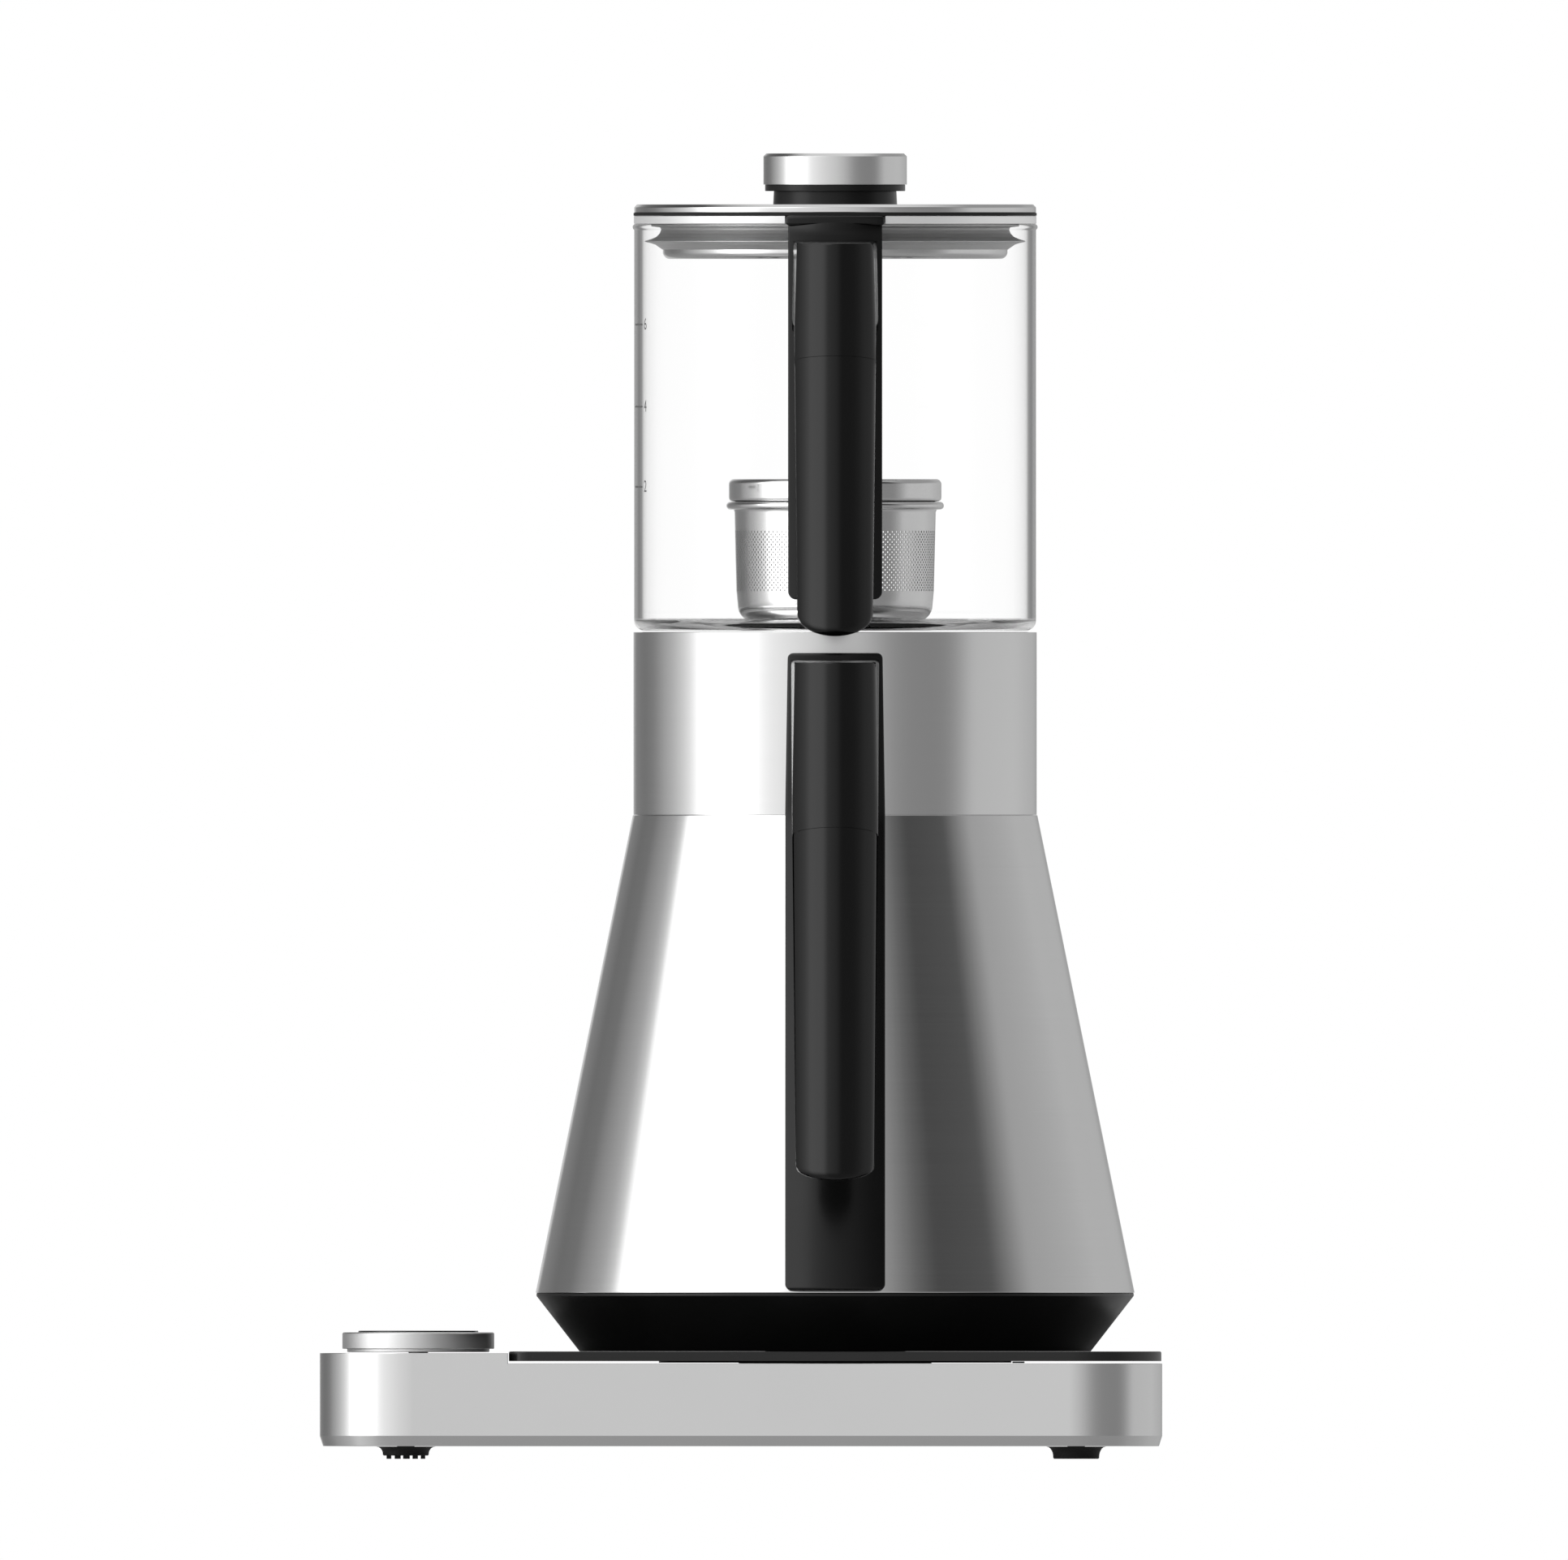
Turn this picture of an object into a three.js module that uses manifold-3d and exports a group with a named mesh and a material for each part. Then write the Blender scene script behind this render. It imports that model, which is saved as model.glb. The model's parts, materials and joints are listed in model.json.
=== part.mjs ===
// Two-storey tea maker: a glass pot stands on a steel kettle, on a powered base with a rotary dial.
// Millimetres, +Z up. The kettle's axis is x = 0, y = 0; the dial is towards -X, the handles towards -Y
// and both spouts towards +Y. At the end the whole is moved so that its footprint is centred on the origin.

import * as THREE from 'three';
import { mergeVertices } from 'three/addons/utils/BufferGeometryUtils.js';
import Module from 'manifold-3d';

// Facet counts
const facets = 40;
const smallFacets = 24;
const pinFacets = 8;
const cornerSteps = 5;
const bendSteps = 4;

// Gaps: between seated faces, between cut or turned faces, and the overrun of a cutting tool
const seatGap = 0.1;
const clearGap = 0.3;
const overrun = 5;

// Base housing
const footHeight = 3.9;
const baseLength = 259.5;
const baseDepth = 201.5;
const baseCorner = 28.75;
const baseHeight = 28.7;
const baseChamferHeight = 3.2;
const baseChamferInset = 1;
const baseWall = 2.5;
const dialDeckLength = 57.95;
const plateOverhang = 0.25;
const shelfDrop = 3.2;
const coverThickness = 2.2;
const coverRecess = 0.3;

// Feet
const footInset = 26.5;
const footTopRadius = 9.25;
const footSoleRadius = 7.25;
const footRimHeight = 0.4;
const footPegRadius = 2.7;
const footPegLength = 4.2;

// Housing screws and their bosses
const screwInsetX = 17;
const screwInsetY = 48;
const screwHeadRadius = 3.3;
const screwHeadHeight = 1.4;
const screwShankRadius = 1.4;
const screwLength = 9;
const bossRadius = 4.4;

// Rest plate, its support and the spacer in the slit under it
const plateSlit = 0.7;
const plateThickness = 3;
const plateBackCorner = 6;
const plateChamfer = 1;
const supportRadius = 54.3;
const supportHubWall = 4.6;
const supportHubDepth = 8.5;
const spacerLength = 3.75;
const spacerWidth = 12;

// Cordless connector
const postRadius = 18;
const postShoulder = 4.3;
const postHeight = 12;
const postChamfer = 1.5;
const postBore = 5;
const postBoreDepth = 10;
const postCollarHeight = 0.25;
const postFlangeStep = 2.3;
const postFlangeRoom = 0.5;
const postFlangeHeight = 3;
const socketWall = 5;
const socketHeight = 15.5;
const socketFlangeRadius = 30;
const socketFlangeHeight = 1.8;

// Dial
const dialInset = 30.35;
const dialLowerStep = 1.5;
const dialLowerHeight = 1;
const dialRadius = 23.4;
const dialHeight = 5.1;
const dialEdge = 0.4;
const dialRecessDepth = 1.8;
const dialLift = 0.3;
const dialRimWidth = 4.9;
const dialCapThickness = 1.3;
const dialCapProud = 0.5;
const dialPressTravel = 0.8;
const plungerLength = 1.3;
const spindleRadius = 3;
const spindleHole = 5;

// Boards inside the base; a margin is the room between a board and the screw bosses beside it
const boardThickness = 1.6;
const controlBoardLength = 34;
const controlBoardMargin = 18.35;
const controlBoardDrop = 14.6;
const encoderSize = 14;
const encoderHeight = 7;
const powerBoardLength = 44;
const powerBoardMargin = 6.35;
const powerBoardInset = 28.75;
const powerBoardLift = 7.1;
const relayLength = 22;
const relayWidth = 28;
const relayHeight = 9;
const postSide = 5;

// Cord gland, flush in the wall opposite the dial
const glandRadius = 6;
const glandBore = 3.4;
const glandFlangeRadius = 8;
const glandFlangeLength = 2;
const glandLift = 11.1;

// Kettle
const kettleRest = 0.3;
const skirtHeight = 18;
const skirtTaper = 13.25;
const skirtStep = 0.25;
const skirtEdge = 0.9;
const skirtWall = 2.5;
const coneHeight = 147;
const coneBottomRadius = 92.25;
const coneTopRadius = 62.3;
const collarHeight = 56.2;
const collarStep = 0.2;
const collarWall = 0.8;
const vesselWall = 1;
const floorLift = 1.6;
const floorThickness = 1.2;
const neckDrop = 3.1;
const neckLap = 4;
const elementRadius = 58;
const elementWidth = 9;
const elementHeight = 7;
const thermostatRadius = 9;
const thermostatHeight = 6;
const thermostatX = 39;

// Kettle spout and its strainer
const spoutTopRadius = 24;
const spoutFootRadius = 4;
const spoutLength = 52;
const spoutTiltDegrees = 4;
const spoutWall = 1.2;
const spoutFootLift = 5.2;
const windowWidth = 28;
const windowHeight = 27;
const windowDrop = 13;
const filterMargin = 2.5;
const filterThickness = 0.8;
const filterHoleRadius = 1.6;
const filterHolePitch = 7;
const filterHoleRows = 3;

// Kettle lid, which is also the pot's seat
const lidSkirtLength = 6;
const lidWall = 1;
const lidFlangeThickness = 0.8;
const potSeatGap = 0.4;
const lidRimWidth = 6.7;
const lidDishSlope = 7;
const lidDishDepth = 5.5;
const steamHoleRadius = 12;

// Glass pot
const potSeatLift = 0.5;
const glassHeight = 125.3;
const glassStep = 0.2;
const glassWall = 3;
const glassFloor = 2.5;
const glassCorner = 2.5;
const beadProud = 0.5;
const beadHeight = 2;
const beadRun = 0.6;
const beakTopRadius = 14;
const beakFootRadius = 2.5;
const beakLength = 34;
const beakTiltDegrees = 3;
const beakWall = 2;
const beakFootDrop = 32;
const bandHeight = 2.4;
const bandProud = 0.1;
const bandWidth = 3;

// Pot bracket: the strip on the glass and the block that fills the gap in the band
const stripGap = 0.3;
const stripThickness = 2.8;
const potStripWidth = 29;
const potStripTopDrop = 1;
const potStripFootLift = 9.6;
const stripCorner = 3;
const blockWidth = 31;

// Pot lid
const lidJoint = 0.2;
const gasketHeight = 0.7;
const gasketProud = 0.2;
const gasketWidth = 6.1;
const lidThickness = 2.5;
const lidEdge = 0.9;
const plugClearance = 5.8;
const plugDepth = 14.2;
const plugCorner = 1.3;
const plugWall = 0.9;
const sealBodyThickness = 1;
const sealTopDrop = 2;
const sealBodyHeight = 10.5;
const sealWingDrop = 8.4;
const sealWingThickness = 0.9;
const sealWingSlope = 1.6;
const sealRootHeight = 4;

// Lid knob
const neckHeight = 4;
const neckTopRadius = 18.9;
const neckFootRadius = 19.1;
const knobCollarHeight = 1.9;
const knobCollarStep = 0.5;
const knobHeight = 9.5;
const knobRadius = 22.1;
const knobEdge = 0.9;
const knobScrewRadius = 2;
const knobScrewHeadRadius = 4;
const knobScrewHeadHeight = 2.2;
const knobScrewDepth = 5;

// Infuser
const infuserRest = 0.3;
const basketHeight = 34.5;
const basketTopRadius = 31;
const basketTaper = 1;
const basketCorner = 5;
const basketWall = 0.8;
const rimProud = 2.5;
const rimHeight = 2.4;
const rimEdge = 0.6;
const infuserCapStep = 0.75;
const infuserCapHeight = 6.9;
const infuserCapEdge = 1;
const infuserCapWall = 1;
const infuserPlugLength = 5;

// Kettle handle
const kettleStripTopDrop = 5.5;
const kettleStripTopWidth = 29.25;
const kettleStripFootWidth = 30.75;
const kettleStripFootLift = 0.7;
const kettleHandleDrop = 8.4;
const kettleArmLift = 4.2;
const kettleHandleHeight = 160.6;
const kettleArmTopWidth = 27;
const kettleArmFootWidth = 28.2;
const kettleGripTopWidth = 26.6;
const kettleGripEndWidth = 24.25;
const kettleGripArc = 4.5;
const kettleSeamDrop = 51.5;
const kettleFingerGap = 46;
const kettleArmpit = 14;

// Pot handle
const potHandleDrop = 8.2;
const potArmHeight = 27.6;
const handleGap = 7.2;
const potArmTopWidth = 25.6;
const potArmFootWidth = 26.5;
const potGripTopWidth = 25.2;
const potGripEndWidth = 23.3;
const potGripArc = 6.7;
const potSeamDrop = 34.8;
const potFingerGap = 34;
const potArmpit = 12;

// Both handles
const gripDepth = 16;
const gripCoverDepth = 9;
const gripFrontRadius = 15.7;
const gripRound = 2;
const frontDrop = 0.8;
const rootLap = 8.4;
const seamGap = 0.3;
const handleScrewRadius = 2;
const handleScrewHeadRadius = 3.5;
const handleScrewHeadLength = 3;
const handleScrewLength = 24;
const handleScrewInset = 12;

// Levels that follow from the sizes above
const deckTop = footHeight + baseHeight;
const shelfTop = deckTop - shelfDrop;
const plateBottom = shelfTop + plateSlit;
const plateTop = plateBottom + plateThickness;
const skirtBottom = plateTop + kettleRest;
const coneBottom = skirtBottom + skirtHeight;
const coneTop = coneBottom + coneHeight;
const collarTop = coneTop + collarHeight;
const neckTop = collarTop - neckDrop;
const potBottom = collarTop + potSeatLift;
const glassTop = potBottom + glassHeight;
const bandBottom = glassTop + seatGap;
const bandTop = bandBottom + bandHeight;
const gasketBottom = bandTop + lidJoint;
const lidBottom = gasketBottom + gasketHeight + seatGap;
const lidTop = lidBottom + lidThickness;
const infuserBottom = potBottom + glassFloor + infuserRest;
const rimBottom = infuserBottom + basketHeight;
const rimTop = rimBottom + rimHeight;

// Radii that follow from the sizes above
const plateBore = postRadius + postShoulder;
const postFlangeRadius = plateBore + postFlangeStep;
const shelfBore = postFlangeRadius + postFlangeRoom + supportHubWall + clearGap;
const dialLowerRadius = dialRadius - dialLowerStep;
const dialCapRadius = dialRadius - dialRimWidth;
const skirtTopRadius = coneBottomRadius - skirtStep;
const skirtBottomRadius = skirtTopRadius - skirtTaper;
const collarRadius = coneTopRadius - collarStep;
const neckOuter = collarRadius - collarWall - clearGap;
const neckInner = neckOuter - vesselWall;
const lidRimInnerRadius = neckInner - clearGap - lidRimWidth;
const lidDishRadius = lidRimInnerRadius - lidDishSlope;
const glassRadius = collarRadius - glassStep;
const glassInner = glassRadius - glassWall;
const beadRadius = glassRadius + beadProud;
const bandRadius = glassRadius + bandProud;
const gasketRadius = glassRadius + gasketProud;
const plugRadius = glassInner - plugClearance;
const basketFootRadius = basketTopRadius - basketTaper;
const rimRadius = basketTopRadius + rimProud;
const infuserCapRadius = rimRadius - infuserCapStep;
const knobCollarRadius = knobRadius - knobCollarStep;

// Plan of the base: the rest plate takes what the dial's deck leaves, and the kettle stands on its middle
const plateSize = baseLength - dialDeckLength - clearGap - plateOverhang;
const plateDepth = baseDepth - 2 * plateOverhang;
const baseRight = plateSize / 2 + plateOverhang;
const baseLeft = baseRight - baseLength;
const baseMiddleX = (baseLeft + baseRight) / 2;
const stepX = -plateSize / 2 - clearGap;
const dialAxisX = baseLeft + dialInset;
const bossToBoss = baseDepth - 2 * screwInsetY - 2 * bossRadius;
const controlBoardWidth = bossToBoss - 2 * controlBoardMargin;
const powerBoardWidth = bossToBoss - 2 * powerBoardMargin;
const powerBoardX = baseRight - powerBoardInset;
const controlBoardLevel = deckTop - controlBoardDrop;
const powerBoardLevel = footHeight + powerBoardLift;
const glandLevel = footHeight + glandLift;

// Finishes
const look = (color, roughness, metalness) => new THREE.MeshStandardMaterial({ color, roughness, metalness });
const steel = () => look(0xc2c3c5, 0.28, 1);
const brushedSteel = () => look(0xb4b5b7, 0.42, 1);
const silver = () => look(0xc4c5c6, 0.45, 0.6);
const blackPlastic = () => look(0x1c1c1d, 0.4, 0);
const glossBlack = () => look(0x0c0c0d, 0.12, 0);
const rubber = () => look(0x151515, 0.85, 0);
const silicone = () => look(0x8c8d8e, 0.6, 0);
const boardGreen = () => look(0x1d5a36, 0.6, 0);
const glass = () => new THREE.MeshStandardMaterial({
  color: 0xeef2f2, roughness: 0.03, metalness: 0, transparent: true, opacity: 0.3,
});

// Joining and cutting
const wasm = await Module();
wasm.setup();

function toManifold(geometry) {
  const plain = geometry.clone();
  plain.deleteAttribute('normal');
  plain.deleteAttribute('uv');
  const merged = mergeVertices(plain);
  const corners = merged.index.array;
  const kept = [];
  for (let i = 0; i < corners.length; i += 3) {
    const [a, b, c] = corners.slice(i, i + 3);
    if (a !== b && b !== c && c !== a) kept.push(a, b, c);
  }
  return new wasm.Manifold(new wasm.Mesh({
    numProp: 3,
    vertProperties: new Float32Array(merged.attributes.position.array),
    triVerts: new Uint32Array(kept),
  }));
}

function fromManifold(solid) {
  const mesh = solid.getMesh();
  const geometry = new THREE.BufferGeometry();
  geometry.setAttribute('position', new THREE.BufferAttribute(mesh.vertProperties, 3));
  geometry.setIndex(new THREE.BufferAttribute(mesh.triVerts, 1));
  geometry.computeVertexNormals();
  return geometry;
}

function join(...parts) {
  return fromManifold(parts.map(toManifold).reduce((a, b) => a.add(b)));
}

function cut(body, ...tools) {
  return fromManifold(tools.map(toManifold).reduce((a, b) => a.subtract(b), toManifold(body)));
}

function common(...parts) {
  return fromManifold(parts.map(toManifold).reduce((a, b) => a.intersect(b)));
}

// A turned solid: [radius, height] points run up the outside and back down the inside
function turned(profile, segments = facets) {
  const points = profile.map(([radius, height]) => new THREE.Vector2(radius, height));
  const geometry = new THREE.LatheGeometry(points, segments);
  geometry.rotateX(Math.PI / 2);
  return geometry;
}

function turnedRing(profile, segments = facets) {
  return turned([...profile, profile[0]], segments);
}

function disc(radius, bottom, top, segments = facets) {
  return turned([[0, bottom], [radius, bottom], [radius, top], [0, top]], segments);
}

function tube(outer, inner, bottom, top, segments = facets) {
  return turnedRing([[inner, bottom], [outer, bottom], [outer, top], [inner, top]], segments);
}

function block(x0, x1, y0, y1, z0, z1) {
  const geometry = new THREE.BoxGeometry(x1 - x0, y1 - y0, z1 - z0);
  geometry.translate((x0 + x1) / 2, (y0 + y1) / 2, (z0 + z1) / 2);
  return geometry;
}

// A rounded rectangle from two corners, with one radius at its left end and one at its right end
function roundedRectangle(x0, x1, y0, y1, leftRadius, rightRadius) {
  const quarter = Math.PI / 2;
  const shape = new THREE.Shape();
  shape.absarc(x1 - rightRadius, y0 + rightRadius, rightRadius, -quarter, 0);
  shape.absarc(x1 - rightRadius, y1 - rightRadius, rightRadius, 0, quarter);
  shape.absarc(x0 + leftRadius, y1 - leftRadius, leftRadius, quarter, 2 * quarter);
  shape.absarc(x0 + leftRadius, y0 + leftRadius, leftRadius, 2 * quarter, 3 * quarter);
  shape.closePath();
  return shape;
}

function slab(shape, bottom, top) {
  const geometry = new THREE.ExtrudeGeometry(shape, {
    depth: top - bottom, bevelEnabled: false, curveSegments: cornerSteps,
  });
  geometry.translate(0, 0, bottom);
  return geometry;
}

// A slab with its edges chamfered above and below
function chamferedSlab(shape, bottom, top, rise, inset) {
  const geometry = new THREE.ExtrudeGeometry(shape, {
    depth: top - bottom - 2 * rise,
    bevelEnabled: true,
    bevelThickness: rise,
    bevelSize: inset,
    bevelOffset: -inset,
    bevelSegments: 1,
    curveSegments: cornerSteps,
  });
  geometry.translate(0, 0, bottom + rise);
  return geometry;
}

// An outline drawn as seen from the front, in x and z, run from the axis out towards -Y
const facingFront = new THREE.Matrix4().makeBasis(
  new THREE.Vector3(1, 0, 0), new THREE.Vector3(0, 0, 1), new THREE.Vector3(0, -1, 0),
);

function frontPrism(shape, reach) {
  const geometry = new THREE.ExtrudeGeometry(shape, {
    depth: reach, bevelEnabled: false, curveSegments: cornerSteps,
  });
  return geometry.applyMatrix4(facingFront);
}

// An outline drawn from the side, in distance out from the axis and z, with rounded edges across its width
const facingSide = new THREE.Matrix4().makeBasis(
  new THREE.Vector3(0, -1, 0), new THREE.Vector3(0, 0, 1), new THREE.Vector3(-1, 0, 0),
);

function sidePrism(shape, width, round) {
  const geometry = new THREE.ExtrudeGeometry(shape, {
    depth: width - 2 * round,
    bevelEnabled: round > 0,
    bevelThickness: round,
    bevelSize: round,
    bevelOffset: -round,
    bevelSegments: 2,
    curveSegments: bendSteps,
  });
  geometry.translate(0, 0, -width / 2 + round);
  return geometry.applyMatrix4(facingSide);
}

// A pin along -Y at a height, from one distance out to another
function frontPin(radius, from, to, level) {
  const geometry = disc(radius, from, to, pinFacets);
  geometry.rotateX(Math.PI / 2);
  geometry.translate(0, 0, level);
  return geometry;
}

const model = new THREE.Group();

function group(...meshes) {
  const members = new THREE.Group();
  members.add(...meshes);
  model.add(members);
  return members;
}

function piece(name, geometry, material) {
  const mesh = new THREE.Mesh(geometry, material);
  mesh.name = name;
  return mesh;
}

// Base housing: an open-bottomed shell, lower where the rest plate lies
const innerLeft = baseLeft + baseWall;
const innerRight = baseRight - baseWall;
const innerHalfDepth = baseDepth / 2 - baseWall;
const innerCorner = baseCorner - baseWall;
const coverTop = footHeight + coverRecess + coverThickness;
const screwPlaces = [[1, 1], [1, -1], [-1, 1], [-1, -1]].map(([sideX, sideY]) => [
  baseMiddleX + sideX * (baseLength / 2 - screwInsetX),
  sideY * (baseDepth / 2 - screwInsetY),
]);
const footPlaces = [[1, 1], [1, -1], [-1, 1], [-1, -1]].map(([sideX, sideY]) => [
  baseMiddleX + sideX * (baseLength / 2 - footInset),
  sideY * (baseDepth / 2 - footInset),
]);

function at(geometry, x, y) {
  geometry.translate(x, y, 0);
  return geometry;
}

function baseShell() {
  const halfDepth = baseDepth / 2;
  const outline = roundedRectangle(baseLeft, baseRight, -halfDepth, halfDepth, baseCorner, baseCorner);
  const tall = chamferedSlab(outline, footHeight, deckTop + baseChamferHeight, baseChamferHeight,
    baseChamferInset);
  const aboveDeck = block(baseLeft - overrun, baseRight + overrun, -baseDepth, baseDepth,
    deckTop, deckTop + 2 * baseChamferHeight);
  const aboveShelf = block(stepX, baseRight + overrun, -baseDepth, baseDepth, shelfTop, deckTop + overrun);
  const inner = roundedRectangle(innerLeft, innerRight, -innerHalfDepth, innerHalfDepth, innerCorner,
    innerCorner);
  const hollow = slab(inner, footHeight - overrun, shelfTop - baseWall);
  const dialRoom = block(innerLeft + innerCorner / 2, stepX - baseWall, -innerHalfDepth + innerCorner / 2,
    innerHalfDepth - innerCorner / 2, shelfTop - baseWall - clearGap, deckTop - baseWall);
  const spindlePass = at(disc(spindleHole, shelfTop - baseWall, deckTop + overrun, pinFacets), dialAxisX, 0);
  const hubPass = disc(shelfBore, shelfTop - 2 * baseWall, deckTop, facets);
  const glandPass = disc(glandRadius + clearGap, -overrun, baseWall + overrun, smallFacets);
  glandPass.rotateY(Math.PI / 2);
  glandPass.translate(innerRight, 0, glandLevel);
  const shell = cut(tall, aboveDeck, aboveShelf, hollow, dialRoom, spindlePass, hubPass, glandPass);
  const bosses = screwPlaces.map(([x, y]) => at(
    tube(bossRadius, screwShankRadius + clearGap, coverTop + seatGap, shelfTop - baseWall / 2, pinFacets),
    x, y));
  return join(shell, ...bosses);
}

function bottomCover() {
  const edge = (value) => value - clearGap;
  const outline = roundedRectangle(innerLeft + clearGap, edge(innerRight), -edge(innerHalfDepth),
    edge(innerHalfDepth), edge(innerCorner), edge(innerCorner));
  const bottom = footHeight + coverRecess;
  const plain = slab(outline, bottom, coverTop);
  const headRooms = screwPlaces.map(([x, y]) => at(
    disc(screwHeadRadius + clearGap, bottom - overrun, bottom + screwHeadHeight, pinFacets), x, y));
  const shankHoles = screwPlaces.map(([x, y]) => at(
    disc(screwShankRadius + clearGap, bottom - overrun, coverTop + overrun, pinFacets), x, y));
  const pegHoles = footPlaces.map(([x, y]) => at(
    disc(footPegRadius + clearGap, bottom - overrun, coverTop + overrun, pinFacets), x, y));
  const posts = [
    ...standOffs(dialAxisX, controlBoardLength, controlBoardWidth, controlBoardLevel),
    ...standOffs(powerBoardX, powerBoardLength, powerBoardWidth, powerBoardLevel),
  ];
  return join(cut(plain, ...headRooms, ...shankHoles, ...pegHoles), ...posts);
}

// Square posts under two opposite ends of a board
function standOffs(middleX, length, width, level) {
  return [-1, 1].map((side) => {
    const y = side * (width / 2 - postSide);
    return block(middleX - length / 4, middleX + length / 4, y - postSide / 2, y + postSide / 2,
      coverTop - coverThickness / 2, level - seatGap);
  });
}

function board(middleX, length, width, level) {
  return block(middleX - length / 2, middleX + length / 2, -width / 2, width / 2,
    level, level + boardThickness);
}

function foot() {
  return turned([
    [0, 0], [footSoleRadius, 0], [footTopRadius, footHeight - footRimHeight], [footTopRadius, footHeight],
    [footPegRadius, footHeight], [footPegRadius, footHeight + footPegLength], [0, footHeight + footPegLength],
  ], smallFacets / 2);
}

function housingScrew() {
  const head = footHeight + coverRecess + seatGap;
  const under = head + screwHeadHeight - 2 * seatGap;
  return turned([
    [0, head], [screwHeadRadius, head], [screwHeadRadius, under], [screwShankRadius, under],
    [screwShankRadius, head + screwLength], [0, head + screwLength],
  ], pinFacets);
}

function restPlate() {
  const outline = roundedRectangle(-plateSize / 2, plateSize / 2, -plateDepth / 2, plateDepth / 2,
    plateBackCorner, baseCorner - plateOverhang);
  const tall = chamferedSlab(outline, plateBottom - plateChamfer, plateTop, plateChamfer, plateChamfer);
  const below = block(-plateSize, plateSize, -plateDepth, plateDepth,
    plateBottom - 2 * plateChamfer, plateBottom);
  return cut(tall, below, disc(plateBore, plateBottom - overrun, plateTop + overrun));
}

function plateSupport() {
  const bottom = shelfTop + seatGap;
  const top = plateBottom - seatGap;
  const hub = shelfBore - clearGap;
  const bore = hub - supportHubWall;
  return turnedRing([
    [bore, top - supportHubDepth], [hub, top - supportHubDepth], [hub, bottom],
    [supportRadius, bottom], [supportRadius, top], [bore, top],
  ]);
}

function connectorPost() {
  const foot = plateBottom - seatGap - supportHubDepth;
  const waist = plateBore - 2 * clearGap;
  const shoulder = plateTop + postCollarHeight;
  const top = plateTop + postHeight;
  return turned([
    [0, foot], [postFlangeRadius, foot], [postFlangeRadius, foot + postFlangeHeight],
    [waist, foot + postFlangeHeight], [waist, shoulder], [postRadius, shoulder],
    [postRadius, top - postChamfer], [postRadius - postChamfer, top], [postBore, top],
    [postBore, top - postBoreDepth], [0, top - postBoreDepth],
  ], smallFacets);
}

function cordGland() {
  const inner = -glandFlangeLength - clearGap;
  const gland = turnedRing([
    [glandBore, inner], [glandFlangeRadius, inner], [glandFlangeRadius, -clearGap], [glandRadius, -clearGap],
    [glandRadius, baseWall], [glandBore, baseWall],
  ], smallFacets / 2);
  gland.rotateY(Math.PI / 2);
  gland.translate(innerRight, 0, glandLevel);
  return gland;
}

group(
  piece('base_shell', baseShell(), silver()),
  piece('base_bottom_cover', bottomCover(), blackPlastic()),
  piece('rest_plate', restPlate(), glossBlack()),
  piece('plate_support', plateSupport(), blackPlastic()),
  piece('plate_spacer', block(supportRadius + clearGap, supportRadius + clearGap + spacerLength,
    -spacerWidth / 2, spacerWidth / 2, shelfTop + seatGap, plateBottom - seatGap), steel()),
  piece('base_coupler', connectorPost(), blackPlastic()),
  piece('control_board', board(dialAxisX, controlBoardLength, controlBoardWidth, controlBoardLevel),
    boardGreen()),
  piece('power_board', board(powerBoardX, powerBoardLength, powerBoardWidth, powerBoardLevel), boardGreen()),
  piece('power_relay', block(powerBoardX - relayLength / 2, powerBoardX + relayLength / 2, -relayWidth / 2,
    relayWidth / 2, powerBoardLevel + boardThickness + seatGap,
    powerBoardLevel + boardThickness + seatGap + relayHeight), blackPlastic()),
  piece('cord_gland', cordGland(), rubber()),
  ...['right_far', 'right_near', 'left_far', 'left_near'].map(
    (corner, i) => piece(`foot_${corner}`, at(foot(), ...footPlaces[i]), rubber())),
  ...screwPlaces.map(([x, y], i) => piece(`base_screw_${i + 1}`, at(housingScrew(), x, y), steel())),
);

// Dial: a heavy ring on the encoder's spindle, with a press cap in its top
const dialBottom = deckTop + dialLift;
const dialTop = dialBottom + dialLowerHeight + dialHeight;
const dialBore = spindleRadius + clearGap;
const recessFloor = dialTop - dialRecessDepth;
const capTop = dialTop + dialCapProud;
const capBottom = capTop - dialCapThickness;
const spindleTop = capBottom - plungerLength - dialPressTravel - seatGap;
const encoderBottom = controlBoardLevel + boardThickness + seatGap;

function dialRing() {
  const waist = dialBottom + dialLowerHeight;
  return at(turnedRing([
    [dialBore, dialBottom], [dialLowerRadius, dialBottom], [dialLowerRadius, waist], [dialRadius, waist],
    [dialRadius, dialTop - dialEdge], [dialRadius - dialEdge, dialTop], [dialCapRadius + clearGap, dialTop],
    [dialCapRadius + clearGap, recessFloor], [dialBore, recessFloor],
  ], facets), dialAxisX, 0);
}

function dialCap() {
  return at(turned([
    [0, capBottom - plungerLength], [spindleRadius, capBottom - plungerLength], [spindleRadius, capBottom],
    [dialCapRadius, capBottom], [dialCapRadius, capTop], [0, capTop],
  ], smallFacets), dialAxisX, 0);
}

function encoderBody() {
  const half = encoderSize / 2;
  const can = block(-half, half, -half, half, encoderBottom, encoderBottom + encoderHeight);
  const bore = disc(dialBore, encoderBottom + seatGap, encoderBottom + encoderHeight + overrun, pinFacets);
  return at(cut(can, bore), dialAxisX, 0);
}

group(piece('encoder_body', encoderBody(), steel()));
group(
  piece('dial_ring', dialRing(), brushedSteel()),
  piece('dial_spindle',
    at(disc(spindleRadius, encoderBottom + clearGap, spindleTop, pinFacets), dialAxisX, 0), steel()),
);
group(piece('dial_cap', dialCap(), glossBlack()));

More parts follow.
